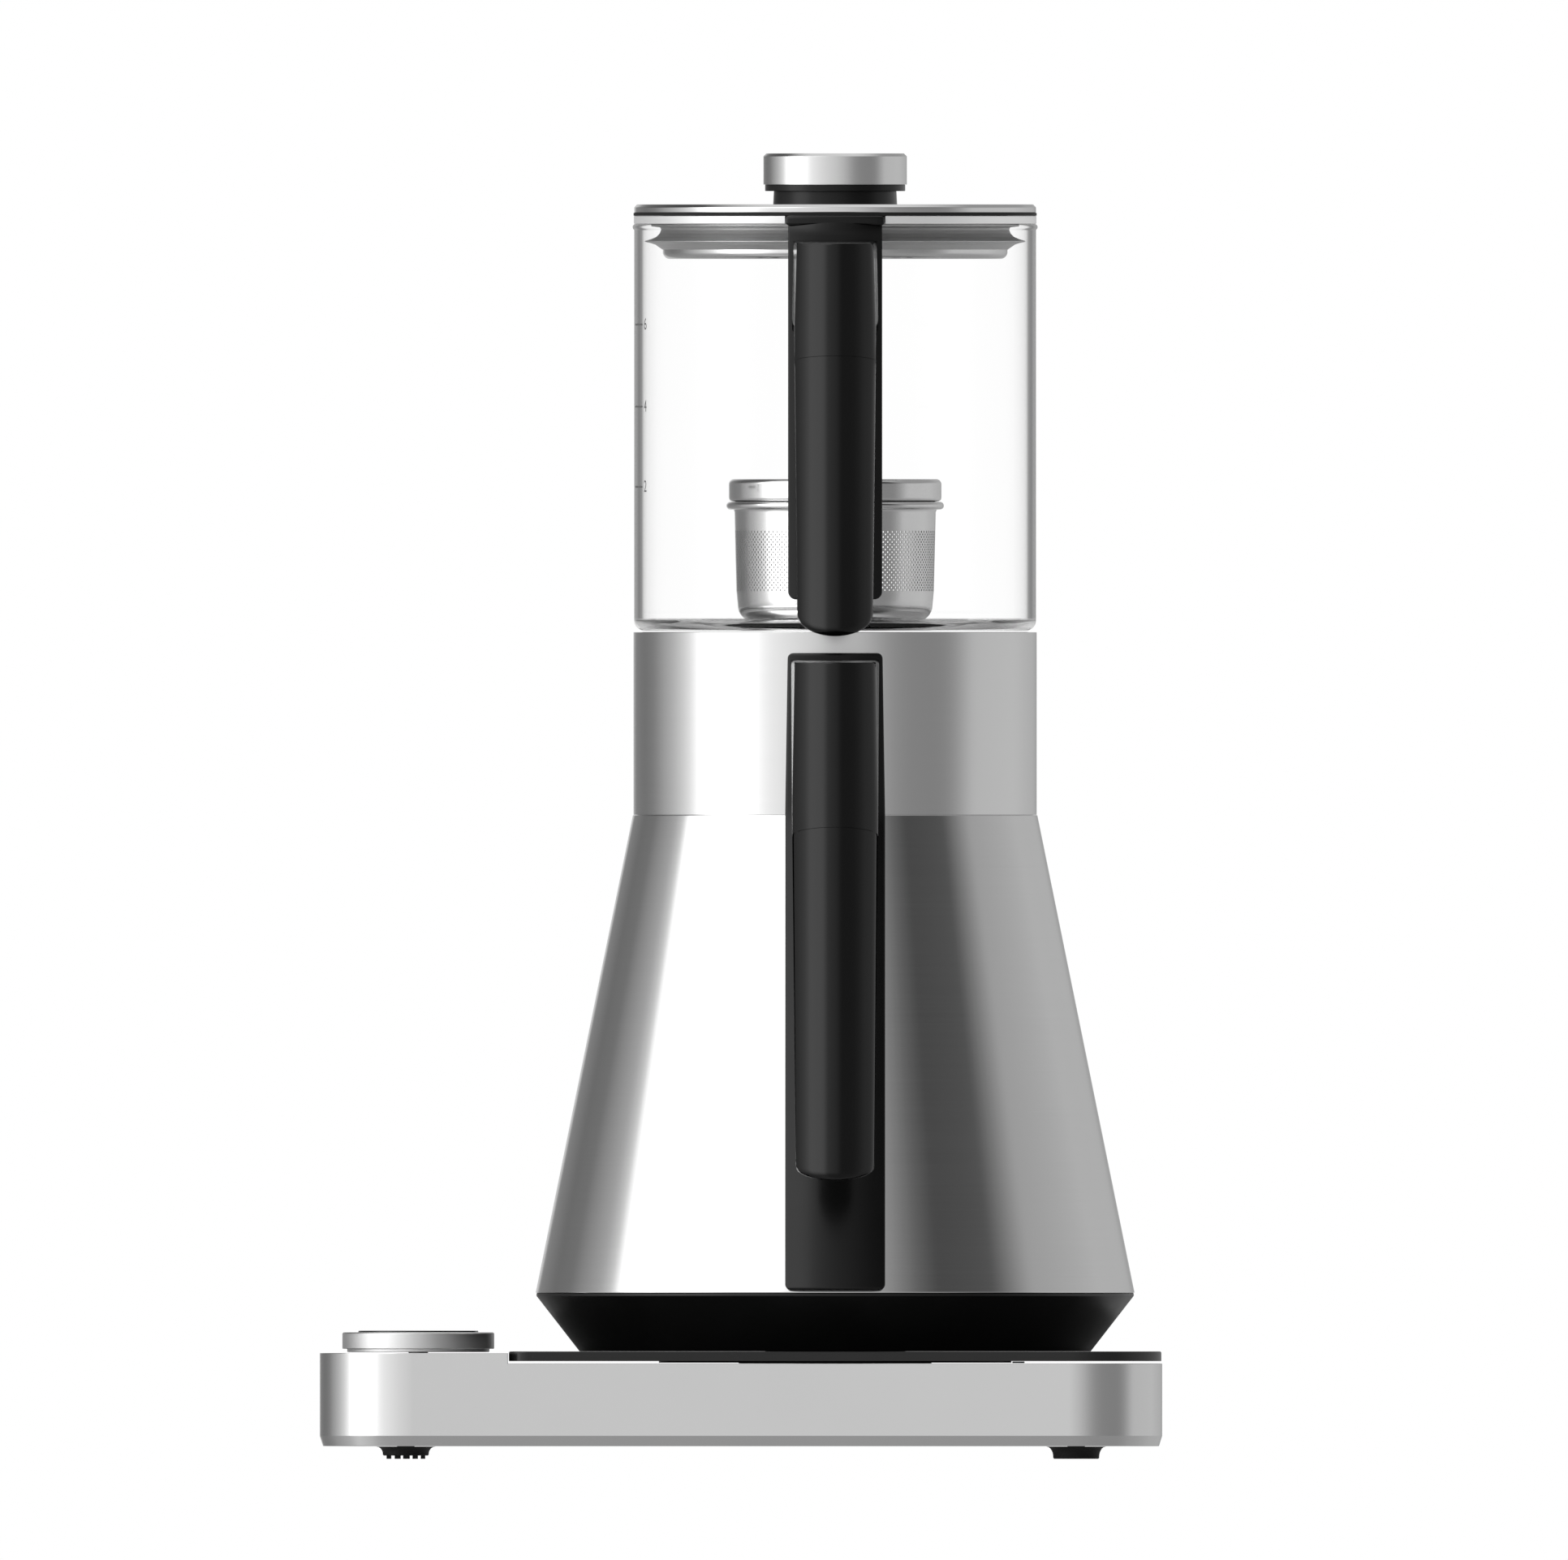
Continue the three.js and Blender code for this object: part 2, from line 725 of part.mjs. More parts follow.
// Kettle vessel: cone and floor drawn in one, with the neck welded into the top of the cone
const floorBottom = coneBottom + floorLift;
const floorTop = floorBottom + floorThickness;
const coneSlope = (coneBottomRadius - coneTopRadius) / coneHeight;
const coneAt = (level) => coneBottomRadius - coneSlope * (level - coneBottom);
const spoutTilt = THREE.MathUtils.degToRad(spoutTiltDegrees);

function spoutWindow() {
  const top = collarTop - windowDrop;
  const half = windowWidth / 2;
  return block(-half, half, lidRimInnerRadius, collarRadius + overrun, top - windowHeight, top);
}

function kettleBody() {
  const lip = coneAt(floorBottom) - vesselWall;
  const top = coneTop - seatGap;
  return turned([
    [0, floorBottom], [lip, floorBottom], [coneBottomRadius - vesselWall, coneBottom],
    [coneBottomRadius, coneBottom], [coneTopRadius, top], [coneTopRadius - vesselWall, top],
    [coneAt(floorTop) - vesselWall, floorTop], [0, floorTop],
  ]);
}

function kettleNeck() {
  return cut(tube(neckOuter, neckInner, coneTop - neckLap, neckTop), spoutWindow());
}

function kettleCollar() {
  return cut(tube(collarRadius, collarRadius - collarWall, coneTop + seatGap, collarTop), spoutWindow());
}

function kettleSkirt() {
  const top = coneBottom - clearGap;
  const hole = socketBody + clearGap;
  return turnedRing([
    [hole, skirtBottom], [skirtBottomRadius, skirtBottom], [skirtTopRadius, top - skirtEdge],
    [skirtTopRadius, top], [skirtTopRadius - skirtWall, top],
    [skirtBottomRadius - skirtWall, skirtBottom + skirtWall], [hole, skirtBottom + skirtWall],
  ]);
}

// A cone-shaped channel that leans out over +Y, open on top and against the wall it stands on
function channel(topRadius, footRadius, length, tilt, wallRadius, footLevel) {
  const geometry = new THREE.CylinderGeometry(topRadius, footRadius, length, smallFacets / 2);
  geometry.rotateX(Math.PI / 2);
  geometry.translate(0, 0, length / 2);
  geometry.rotateX(-tilt);
  geometry.translate(0, wallRadius, footLevel);
  return geometry;
}

const socketBody = postRadius + clearGap + socketWall;

function kettleSpout() {
  const foot = coneTop + spoutFootLift;
  const outer = channel(spoutTopRadius, spoutFootRadius, spoutLength, spoutTilt, collarRadius, foot);
  const inner = channel(spoutTopRadius, spoutFootRadius, spoutLength, spoutTilt, collarRadius - spoutWall / 2,
    foot + 2 * spoutWall);
  const reach = 2 * collarRadius;
  const above = block(-reach, reach, 0, reach, collarTop - seatGap, collarTop + spoutLength);
  const wall = disc(collarRadius + clearGap, foot - overrun, collarTop + overrun);
  return cut(outer, inner, above, wall);
}

function spoutFilter() {
  const outer = neckInner - clearGap;
  const top = collarTop - windowDrop + filterMargin;
  const bottom = top - windowHeight - 2 * filterMargin;
  const half = windowWidth / 2 + filterMargin;
  const plate = common(tube(outer, outer - filterThickness, bottom, top),
    block(-half, half, 0, outer + overrun, bottom, top));
  const holes = [];
  const steps = filterHoleRows - 1;
  for (let row = 0; row < filterHoleRows; row += 1) {
    for (let column = 0; column < filterHoleRows; column += 1) {
      const hole = disc(filterHoleRadius, 0, outer + overrun, pinFacets / 2);
      hole.rotateX(-Math.PI / 2);
      const level = (top + bottom) / 2 + (row - steps / 2) * filterHolePitch;
      hole.translate((column - steps / 2) * filterHolePitch, 0, level);
      holes.push(hole);
    }
  }
  return cut(plate, ...holes);
}

function kettleCoupler() {
  const inner = postRadius + clearGap;
  const bottom = skirtBottom + seatGap;
  const top = bottom + socketHeight;
  const flange = skirtBottom + skirtWall + seatGap;
  return turned([
    [0, top - socketFlangeHeight], [inner, top - socketFlangeHeight], [inner, bottom], [socketBody, bottom],
    [socketBody, flange], [socketFlangeRadius, flange], [socketFlangeRadius, flange + socketFlangeHeight],
    [socketBody, flange + socketFlangeHeight], [socketBody, top], [0, top],
  ], smallFacets);
}

function heatingElement() {
  const top = floorBottom - seatGap;
  return tube(elementRadius + elementWidth / 2, elementRadius - elementWidth / 2, top - elementHeight, top,
    smallFacets);
}

function thermostat() {
  const top = floorBottom - seatGap;
  return at(disc(thermostatRadius, top - thermostatHeight, top, pinFacets), -thermostatX, 0);
}

// The handle's strip follows the collar and the cone, wider at its foot
function kettleStrip() {
  const near = stripGap;
  const far = stripGap + stripThickness;
  const top = collarTop - kettleStripTopDrop;
  const bottom = coneBottom + kettleStripFootLift;
  const sheet = turnedRing([
    [coneAt(bottom) + near, bottom], [coneAt(bottom) + far, bottom], [coneTopRadius + far, coneTop],
    [coneTopRadius + far, top], [coneTopRadius + near, top], [coneTopRadius + near, coneTop],
  ]);
  const outline = new THREE.Shape();
  const topHalf = kettleStripTopWidth / 2;
  const footHalf = kettleStripFootWidth / 2;
  outline.moveTo(-footHalf, bottom);
  outline.lineTo(footHalf, bottom);
  outline.lineTo(footHalf, coneTop);
  outline.lineTo(topHalf, top - stripCorner);
  outline.quadraticCurveTo(topHalf, top, topHalf - stripCorner, top);
  outline.lineTo(stripCorner - topHalf, top);
  outline.quadraticCurveTo(-topHalf, top, -topHalf, top - stripCorner);
  outline.lineTo(-footHalf, coneTop);
  outline.closePath();
  const strip = common(sheet, frontPrism(outline, 2 * coneBottomRadius));
  return cut(strip, ...kettleScrewLevels.map((level) => frontPin(
    handleScrewRadius + clearGap, collarRadius - overrun, coneBottomRadius, level)));
}

// A handle held at its top: a deep arm at the root and a grip that hangs free from it.
// The arm and the back of the grip are one piece, closed in front by a cap above the seam and a cover below.
function handlePieces(size) {
  const root = size.wall - rootLap;
  const inner = size.wall + size.fingerGap;
  const outer = inner + gripDepth;
  const under = size.top - size.armHeight;
  const end = size.top - size.height;
  const side = new THREE.Shape();
  side.moveTo(root, size.top);
  side.lineTo(outer, size.top - frontDrop);
  side.lineTo(outer, end);
  side.lineTo(inner, end);
  side.lineTo(inner, under - size.armpit);
  side.quadraticCurveTo(inner, under, inner - size.armpit, under);
  side.lineTo(root, under);
  side.closePath();
  const width = size.armFootWidth;

  const topHalf = size.armTopWidth / 2;
  const underHalf = size.armFootWidth / 2;
  const gripHalf = size.gripTopWidth / 2;
  const endHalf = size.gripEndWidth / 2;
  const front = new THREE.Shape();
  front.moveTo(-endHalf, end + size.arc);
  front.quadraticCurveTo(-endHalf, end, 0, end);
  front.quadraticCurveTo(endHalf, end, endHalf, end + size.arc);
  front.lineTo(gripHalf, under);
  front.lineTo(underHalf, under);
  front.lineTo(topHalf, size.top);
  front.lineTo(-topHalf, size.top);
  front.lineTo(-underHalf, under);
  front.lineTo(-gripHalf, under);
  front.closePath();

  // Seen from above, the front is half round
  const plan = new THREE.Shape();
  plan.moveTo(-gripFrontRadius, 0);
  plan.absarc(0, gripFrontRadius - outer, gripFrontRadius, Math.PI, 2 * Math.PI, false);
  plan.lineTo(gripFrontRadius, 0);
  plan.closePath();

  const wallRoom = disc(size.wall + clearGap, end - overrun, size.top + overrun);
  const screwStart = size.wall - stripThickness;
  const headStart = screwStart + handleScrewLength;
  const rounded = common(sidePrism(side, width, gripRound), frontPrism(front, 2 * outer),
    slab(plan, end - overrun, size.top + overrun));
  const whole = cut(rounded, wallRoom);

  // Everything in front of the plane between the grip's back and its cover
  const seam = size.top - size.seamDrop;
  const split = outer - gripCoverDepth;
  const region = (top, bottom, gap) => block(-width, width, -2 * outer, gap - split, bottom, top);
  const bores = size.screwLevels.flatMap((level) => [
    frontPin(handleScrewRadius + clearGap, root, headStart + overrun, level),
    frontPin(handleScrewHeadRadius + clearGap, headStart, 2 * outer, level),
  ]);
  return {
    arm: cut(whole, region(size.top + overrun, end - overrun, clearGap), ...bores),
    cap: common(whole, region(size.top + overrun, seam, 0)),
    cover: common(whole, region(seam - seamGap, end - overrun, 0)),
    screws: size.screwLevels.map((level) => join(
      frontPin(handleScrewRadius, screwStart, headStart + seatGap + handleScrewHeadLength, level),
      frontPin(handleScrewHeadRadius, headStart + seatGap,
        headStart + seatGap + handleScrewHeadLength, level),
    )),
  };
}

const kettleHandleTop = collarTop - kettleHandleDrop;
const kettleArmHeight = kettleHandleTop - coneTop - kettleArmLift;
const kettleScrewLevels = [
  kettleHandleTop - handleScrewInset,
  kettleHandleTop - kettleArmHeight + handleScrewInset,
];
const kettleHandle = handlePieces({
  wall: coneTopRadius + stripGap + stripThickness,
  top: kettleHandleTop,
  armHeight: kettleArmHeight,
  height: kettleHandleHeight,
  armTopWidth: kettleArmTopWidth,
  armFootWidth: kettleArmFootWidth,
  gripTopWidth: kettleGripTopWidth,
  gripEndWidth: kettleGripEndWidth,
  arc: kettleGripArc,
  seamDrop: kettleSeamDrop,
  fingerGap: kettleFingerGap,
  armpit: kettleArmpit,
  screwLevels: kettleScrewLevels,
});

group(
  piece('kettle_body', kettleBody(), steel()),
  piece('kettle_neck', kettleNeck(), steel()),
  piece('kettle_collar', kettleCollar(), brushedSteel()),
  piece('kettle_skirt', kettleSkirt(), blackPlastic()),
  piece('kettle_coupler', kettleCoupler(), blackPlastic()),
  piece('heating_element', heatingElement(), steel()),
  piece('thermostat', thermostat(), brushedSteel()),
  piece('kettle_spout', kettleSpout(), steel()),
  piece('spout_filter', spoutFilter(), steel()),
  piece('kettle_strip', kettleStrip(), blackPlastic()),
  piece('kettle_handle_arm', kettleHandle.arm, blackPlastic()),
  piece('kettle_handle_cap', kettleHandle.cap, blackPlastic()),
  piece('kettle_grip_cover', kettleHandle.cover, blackPlastic()),
  piece('kettle_handle_screw_upper', kettleHandle.screws[0], steel()),
  piece('kettle_handle_screw_lower', kettleHandle.screws[1], steel()),
);

// Kettle lid: hangs by its flange on the neck, with a raised rim that carries the pot
function kettleLid() {
  const outer = neckInner - clearGap;
  const flangeBottom = neckTop + seatGap;
  const flangeTop = flangeBottom + lidFlangeThickness;
  const rimTopLevel = potBottom - potSeatGap;
  const dish = rimTopLevel - lidDishDepth;
  return turnedRing([
    [steamHoleRadius, dish - lidWall], [lidDishRadius, dish - lidWall],
    [lidRimInnerRadius, rimTopLevel - 2 * lidWall], [outer - lidWall, flangeBottom],
    [outer - lidWall, flangeBottom - lidSkirtLength], [outer, flangeBottom - lidSkirtLength],
    [outer, flangeBottom], [neckOuter, flangeBottom], [neckOuter, flangeTop], [outer, flangeTop],
    [outer, rimTopLevel], [lidRimInnerRadius, rimTopLevel], [lidDishRadius, dish], [steamHoleRadius, dish],
  ]);
}

group(piece('kettle_lid', kettleLid(), steel()));

// Glass pot with a poured beak at the back of its rim
const beakTilt = THREE.MathUtils.degToRad(beakTiltDegrees);

function potGlass() {
  const floor = potBottom + glassFloor;
  const wall = turned([
    [0, potBottom], [glassRadius - glassCorner, potBottom], [glassRadius, potBottom + glassCorner],
    [glassRadius, glassTop - beadHeight - beadRun], [beadRadius, glassTop - beadHeight],
    [beadRadius, glassTop - beadRun], [glassRadius, glassTop], [glassInner, glassTop],
    [glassInner, floor + glassCorner], [glassInner - glassCorner, floor], [0, floor],
  ]);
  const foot = glassTop - beakFootDrop;
  const outer = channel(beakTopRadius, beakFootRadius, beakLength, beakTilt, glassRadius, foot);
  const inner = channel(beakTopRadius, beakFootRadius, beakLength, beakTilt, glassRadius - beakWall / 2,
    foot + 2 * beakWall);
  const inside = disc(glassInner + glassWall / 2, foot - overrun, glassTop + overrun);
  const above = block(-beadRadius, beadRadius, 0, 2 * beadRadius, glassTop, glassTop + beakLength);
  const beak = cut(outer, inside);
  return cut(join(wall, beak), inner, above);
}

const bandInner = bandRadius - bandWidth;

function blockOutline(bottom, top, width) {
  const shape = new THREE.Shape();
  shape.moveTo(-width / 2, bottom);
  shape.lineTo(width / 2, bottom);
  shape.lineTo(width / 2, top);
  shape.lineTo(-width / 2, top);
  shape.closePath();
  return shape;
}

function potBand() {
  const gap = frontPrism(blockOutline(bandBottom - overrun, bandTop + overrun, blockWidth), 2 * bandRadius);
  return cut(tube(bandRadius, bandInner, bandBottom, bandTop), gap);
}

function potBracket() {
  const near = beadRadius + stripGap;
  const far = near + stripThickness;
  const top = bandTop - potStripTopDrop;
  const bottom = potBottom + potStripFootLift;
  const half = potStripWidth / 2;
  const outline = new THREE.Shape();
  outline.moveTo(-half, top);
  outline.lineTo(-half, bottom + stripCorner);
  outline.quadraticCurveTo(-half, bottom, stripCorner - half, bottom);
  outline.lineTo(half - stripCorner, bottom);
  outline.quadraticCurveTo(half, bottom, half, bottom + stripCorner);
  outline.lineTo(half, top);
  outline.closePath();
  const strip = common(tube(far, near, bottom, top), frontPrism(outline, 2 * far));
  const hook = common(tube(near + stripThickness / 2, bandInner, bandBottom, bandTop),
    frontPrism(blockOutline(bandBottom, bandTop, blockWidth - 2 * clearGap), 2 * far));
  return cut(join(strip, hook), ...potScrewLevels.map((level) => frontPin(
    handleScrewRadius + clearGap, glassRadius, far + overrun, level)));
}

const potHandleTop = bandTop - potHandleDrop;
const potHandleHeight = potHandleTop - kettleHandleTop - handleGap;
const potScrewLevels = [potHandleTop - potArmHeight / 2];
const potHandle = handlePieces({
  wall: beadRadius + stripGap + stripThickness,
  top: potHandleTop,
  armHeight: potArmHeight,
  height: potHandleHeight,
  armTopWidth: potArmTopWidth,
  armFootWidth: potArmFootWidth,
  gripTopWidth: potGripTopWidth,
  gripEndWidth: potGripEndWidth,
  arc: potGripArc,
  seamDrop: potSeamDrop,
  fingerGap: potFingerGap,
  armpit: potArmpit,
  screwLevels: potScrewLevels,
});

group(
  piece('pot_glass', potGlass(), glass()),
  piece('pot_band', potBand(), steel()),
  piece('pot_bracket', potBracket(), blackPlastic()),
  piece('pot_handle_arm', potHandle.arm, blackPlastic()),
  piece('pot_handle_cap', potHandle.cap, blackPlastic()),
  piece('pot_grip_cover', potHandle.cover, blackPlastic()),
  piece('pot_handle_screw', potHandle.screws[0], steel()),
);

// Pot lid: disc, gasket, hollow plug with its wing seal, and the knob
const screwHole = knobScrewRadius + clearGap;
const plugTop = lidBottom - seatGap;
const neckBottom = lidTop + seatGap;
const knobCollarBottom = neckBottom + neckHeight + seatGap;
const knobBottom = knobCollarBottom + knobCollarHeight + seatGap;

function lidDisc() {
  return turnedRing([
    [screwHole, lidBottom], [glassRadius, lidBottom], [glassRadius, lidTop - lidEdge],
    [glassRadius - lidEdge, lidTop], [screwHole, lidTop],
  ]);
}

function lidPlug() {
  const bottom = plugTop - plugDepth;
  const inner = plugRadius - plugWall;
  return turned([
    [0, bottom], [plugRadius - plugCorner, bottom], [plugRadius, bottom + plugCorner], [plugRadius, plugTop],
    [inner, plugTop], [inner, bottom + plugCorner], [inner - plugCorner, bottom + plugWall],
    [0, bottom + plugWall],
  ]);
}

function lidSeal() {
  const inner = plugRadius + clearGap;
  const root = inner + sealBodyThickness;
  const top = gasketBottom - sealTopDrop;
  const bottom = top - sealBodyHeight;
  const tip = glassInner - clearGap;
  const wing = gasketBottom - sealWingDrop;
  return turnedRing([
    [inner, bottom], [root, bottom], [root + sealWingSlope / 2, wing - sealWingThickness - sealWingSlope],
    [tip, wing - sealWingThickness], [tip, wing], [root + sealWingSlope, wing + sealWingSlope / 2],
    [root, wing + sealRootHeight], [root, top], [inner, top],
  ]);
}

function knobCap() {
  const top = knobBottom + knobHeight;
  return turned([
    [0, knobBottom + knobScrewDepth], [screwHole, knobBottom + knobScrewDepth], [screwHole, knobBottom],
    [knobRadius, knobBottom], [knobRadius, top - knobEdge], [knobRadius - knobEdge, top], [0, top],
  ], facets);
}

function knobNeck() {
  return turnedRing([
    [screwHole, neckBottom], [neckFootRadius, neckBottom], [neckTopRadius, neckBottom + neckHeight],
    [screwHole, neckBottom + neckHeight],
  ], smallFacets);
}

function knobScrew() {
  const head = lidBottom - seatGap;
  return turned([
    [0, head - knobScrewHeadHeight], [knobScrewHeadRadius, head - knobScrewHeadHeight],
    [knobScrewHeadRadius, head], [knobScrewRadius, head],
    [knobScrewRadius, knobBottom + knobScrewDepth - clearGap], [0, knobBottom + knobScrewDepth - clearGap],
  ], pinFacets);
}

group(
  piece('lid_disc', lidDisc(), steel()),
  piece('lid_gasket', tube(gasketRadius, gasketRadius - gasketWidth, gasketBottom,
    gasketBottom + gasketHeight), rubber()),
  piece('lid_plug', lidPlug(), steel()),
  piece('lid_seal', lidSeal(), silicone()),
  piece('knob_neck', knobNeck(), blackPlastic()),
  piece('knob_collar', tube(knobCollarRadius, screwHole, knobCollarBottom,
    knobCollarBottom + knobCollarHeight, smallFacets), blackPlastic()),
  piece('knob_cap', knobCap(), brushedSteel()),
  piece('knob_screw', knobScrew(), steel()),
);

// Infuser: a basket with a rolled rim, closed by a plain cap that plugs into it
function infuserBasket() {
  const footInner = basketFootRadius - basketWall;
  const topInner = basketTopRadius - basketWall;
  return turned([
    [0, infuserBottom], [basketFootRadius - basketCorner, infuserBottom],
    [basketFootRadius - basketCorner / 4, infuserBottom + basketCorner / 4],
    [basketFootRadius, infuserBottom + basketCorner], [basketTopRadius, rimBottom],
    [rimRadius - rimEdge, rimBottom], [rimRadius, rimBottom + rimEdge], [rimRadius, rimTop - rimEdge],
    [rimRadius - rimEdge, rimTop], [topInner, rimTop], [topInner, rimBottom],
    [footInner, infuserBottom + basketCorner], [footInner - basketCorner, infuserBottom + basketWall],
    [0, infuserBottom + basketWall],
  ], facets);
}

function infuserCap() {
  const bottom = rimTop + seatGap;
  const top = bottom + infuserCapHeight;
  const plug = basketTopRadius - basketWall - clearGap;
  const inner = plug - infuserCapWall;
  return turned([
    [0, top - infuserCapWall], [inner, top - infuserCapWall], [inner, bottom - infuserPlugLength],
    [plug, bottom - infuserPlugLength], [plug, bottom], [infuserCapRadius, bottom],
    [infuserCapRadius, top - infuserCapEdge], [infuserCapRadius - infuserCapEdge, top], [0, top],
  ], facets);
}

group(piece('infuser_basket', infuserBasket(), brushedSteel()));
group(piece('infuser_cap', infuserCap(), steel()));

// Stand the whole on z = 0 with its footprint centred on the origin
const extent = new THREE.Box3().setFromObject(model, true);
const centre = extent.getCenter(new THREE.Vector3());
model.position.set(-centre.x, -centre.y, -extent.min.z);

export default model;
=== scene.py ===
# Two-storey tea maker, dressed: the fine shape and finish of every piece, its studio and its camera.
# Metres, +Z up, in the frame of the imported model. The handles face the camera, towards -Y.

import json
import math
import bmesh
import bpy
from mathutils import Matrix, Vector


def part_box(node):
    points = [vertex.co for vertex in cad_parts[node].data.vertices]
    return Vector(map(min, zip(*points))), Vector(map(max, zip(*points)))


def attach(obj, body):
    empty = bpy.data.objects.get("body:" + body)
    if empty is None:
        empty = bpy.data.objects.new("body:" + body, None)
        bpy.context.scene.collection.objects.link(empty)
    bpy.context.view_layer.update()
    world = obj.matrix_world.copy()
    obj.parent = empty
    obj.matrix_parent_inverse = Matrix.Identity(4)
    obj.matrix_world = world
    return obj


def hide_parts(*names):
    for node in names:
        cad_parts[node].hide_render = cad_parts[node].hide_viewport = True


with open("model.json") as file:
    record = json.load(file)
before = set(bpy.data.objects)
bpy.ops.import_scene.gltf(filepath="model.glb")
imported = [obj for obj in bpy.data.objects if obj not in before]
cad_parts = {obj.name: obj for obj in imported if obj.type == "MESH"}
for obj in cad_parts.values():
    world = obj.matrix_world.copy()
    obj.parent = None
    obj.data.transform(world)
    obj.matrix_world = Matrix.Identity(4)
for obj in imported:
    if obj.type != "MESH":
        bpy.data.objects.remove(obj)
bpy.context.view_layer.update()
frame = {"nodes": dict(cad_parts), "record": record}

MM = 0.001
TINY = 1e-7
ROUND_STEPS = 160      # facets round a turned piece
EDGE_STEPS = 4         # facets across a rounded edge

node_body = {node: body for body, nodes in frame["record"]["behaviour"]["bodies"].items() for node in nodes}
node_slot = {row["node"]: row["material_slot"] for row in frame["record"]["subparts"]}


def middle(node):
    low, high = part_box(node)
    return (low + high) / 2


def size(node):
    low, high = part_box(node)
    return high - low


# Shader arithmetic

class Value:
    """A shader socket that can stand in an expression on numbers: each operation adds its Math node."""

    def __init__(self, finish, socket):
        self.finish, self.socket = finish, socket

    def math(self, operation, *operands):
        return self.finish.node("ShaderNodeMath", dict(enumerate(operands)), operation=operation)

    def __gt__(self, other):
        return self.math("GREATER_THAN", self, other)


def operator(operation, reflected=False):
    """A Value's method for one operator, or for its form with the number on the left."""
    if reflected:
        return lambda value, number: value.math(operation, number, value)
    return lambda value, other: value.math(operation, value, other)


for title, operation in (("add", "ADD"), ("sub", "SUBTRACT"), ("mul", "MULTIPLY"), ("truediv", "DIVIDE"),
                         ("pow", "POWER")):
    setattr(Value, f"__{title}__", operator(operation))
    setattr(Value, f"__r{title}__", operator(operation, reflected=True))


class Finish:
    """A node tree for a material or the world, and the Value expressions in it."""

    def __init__(self, owner):
        owner.use_nodes = True
        self.tree = owner.node_tree
        self.tree.nodes.clear()

    def feed(self, socket, value):
        if isinstance(value, Value):
            self.tree.links.new(value.socket, socket)
        elif isinstance(value, bpy.types.ID) or not hasattr(socket, "default_value"):
            socket.default_value = value
        elif hasattr(socket.default_value, "__len__") and not hasattr(value, "__len__"):
            socket.default_value = [value] * len(socket.default_value)
        elif hasattr(value, "__len__") and len(value) < len(socket.default_value):
            socket.default_value = (*value, 1)
        else:
            socket.default_value = value

    def node(self, kind, inputs=None, output=0, stops=None, **settings):
        made = self.tree.nodes.new(kind)
        for name, value in settings.items():
            setattr(made, name, value)
        if stops:
            self.set_stops(made.color_ramp, stops)
        for socket, value in (inputs or {}).items():
            self.feed(made.inputs[socket], value)
        return Value(self, made.outputs[output])

    def set_stops(self, ramp, stops):
        while len(ramp.elements) > 1:
            ramp.elements.remove(ramp.elements[-1])
        for index, (place, tone) in enumerate(stops):
            stop = ramp.elements[0] if index == 0 else ramp.elements.new(place)
            stop.position = place
            stop.color = (tone, tone, tone, 1)

    def ramp(self, value, stops):
        return self.node("ShaderNodeValToRGB", {0: value}, stops=stops)

    def range(self, value, low, high, to_low=0.0, to_high=1.0):
        inputs = {"Value": value, "From Min": low, "From Max": high, "To Min": to_low, "To Max": to_high}
        return self.node("ShaderNodeMapRange", inputs)

    def axes(self, vector):
        split = self.node("ShaderNodeSeparateXYZ", {0: vector})
        return [Value(self, split.socket.node.outputs[index]) for index in range(3)]

    def vector(self, x, y, z):
        return self.node("ShaderNodeCombineXYZ", {0: x, 1: y, 2: z})

    def place(self, origin=(0, 0, 0)):
        """A point of the piece, measured from an origin in the frame."""
        inputs = {"Vector": self.node("ShaderNodeTexCoord", None, "Object"),
                  "Location": [-value for value in origin]}
        return self.node("ShaderNodeMapping", inputs)

    def noise(self, vector, scale, detail=2.0, roughness=0.5):
        inputs = {"Vector": vector, "Scale": scale, "Detail": detail, "Roughness": roughness}
        return self.node("ShaderNodeTexNoise", inputs)

    def bump(self, height, distance):
        return self.node("ShaderNodeBump", {"Height": height, "Distance": distance})

    def shown(self, shader, owner="Material"):
        """The shader joined to the output of the material or the world."""
        output = self.tree.nodes.new(f"ShaderNodeOutput{owner}")
        self.tree.links.new(shader.socket, output.inputs["Surface"])


class Pattern(Finish):
    """A Geometry Nodes tree with named inputs that lays out what repeats."""

    KINDS = {float: "NodeSocketFloat", int: "NodeSocketInt", bpy.types.Object: "NodeSocketObject"}

    def __init__(self, name, **sizes):
        self.tree = bpy.data.node_groups.new(name, "GeometryNodeTree")
        self.sizes = sizes
        entry = self.tree.nodes.new("NodeGroupInput")
        for title, flow in (("Geometry", "INPUT"), ("Geometry", "OUTPUT")):
            self.tree.interface.new_socket(title, in_out=flow, socket_type="NodeSocketGeometry")
        self.sockets = {}
        for title, value in sizes.items():
            kind = self.KINDS[type(value)]
            socket = self.tree.interface.new_socket(title, in_out="INPUT", socket_type=kind)
            self.sockets[title] = socket.identifier
            setattr(self, title, Value(self, entry.outputs[title]))
        self.geometry = Value(self, entry.outputs["Geometry"])

    def baked(self, shape, base, material):
        """The plain mesh that the tree makes of the base mesh."""
        real = self.node("GeometryNodeRealizeInstances", {0: shape})
        finished = self.node("GeometryNodeSetMaterial", {"Geometry": real, "Material": material})
        exit_node = self.tree.nodes.new("NodeGroupOutput")
        self.tree.links.new(finished.socket, exit_node.inputs["Geometry"])
        body = in_scene(self.tree.name, base)
        layout = body.modifiers.new("layout", "NODES")
        layout.node_group = self.tree
        for title, value in self.sizes.items():
            layout[self.sockets[title]] = value
        return taken_from(body)


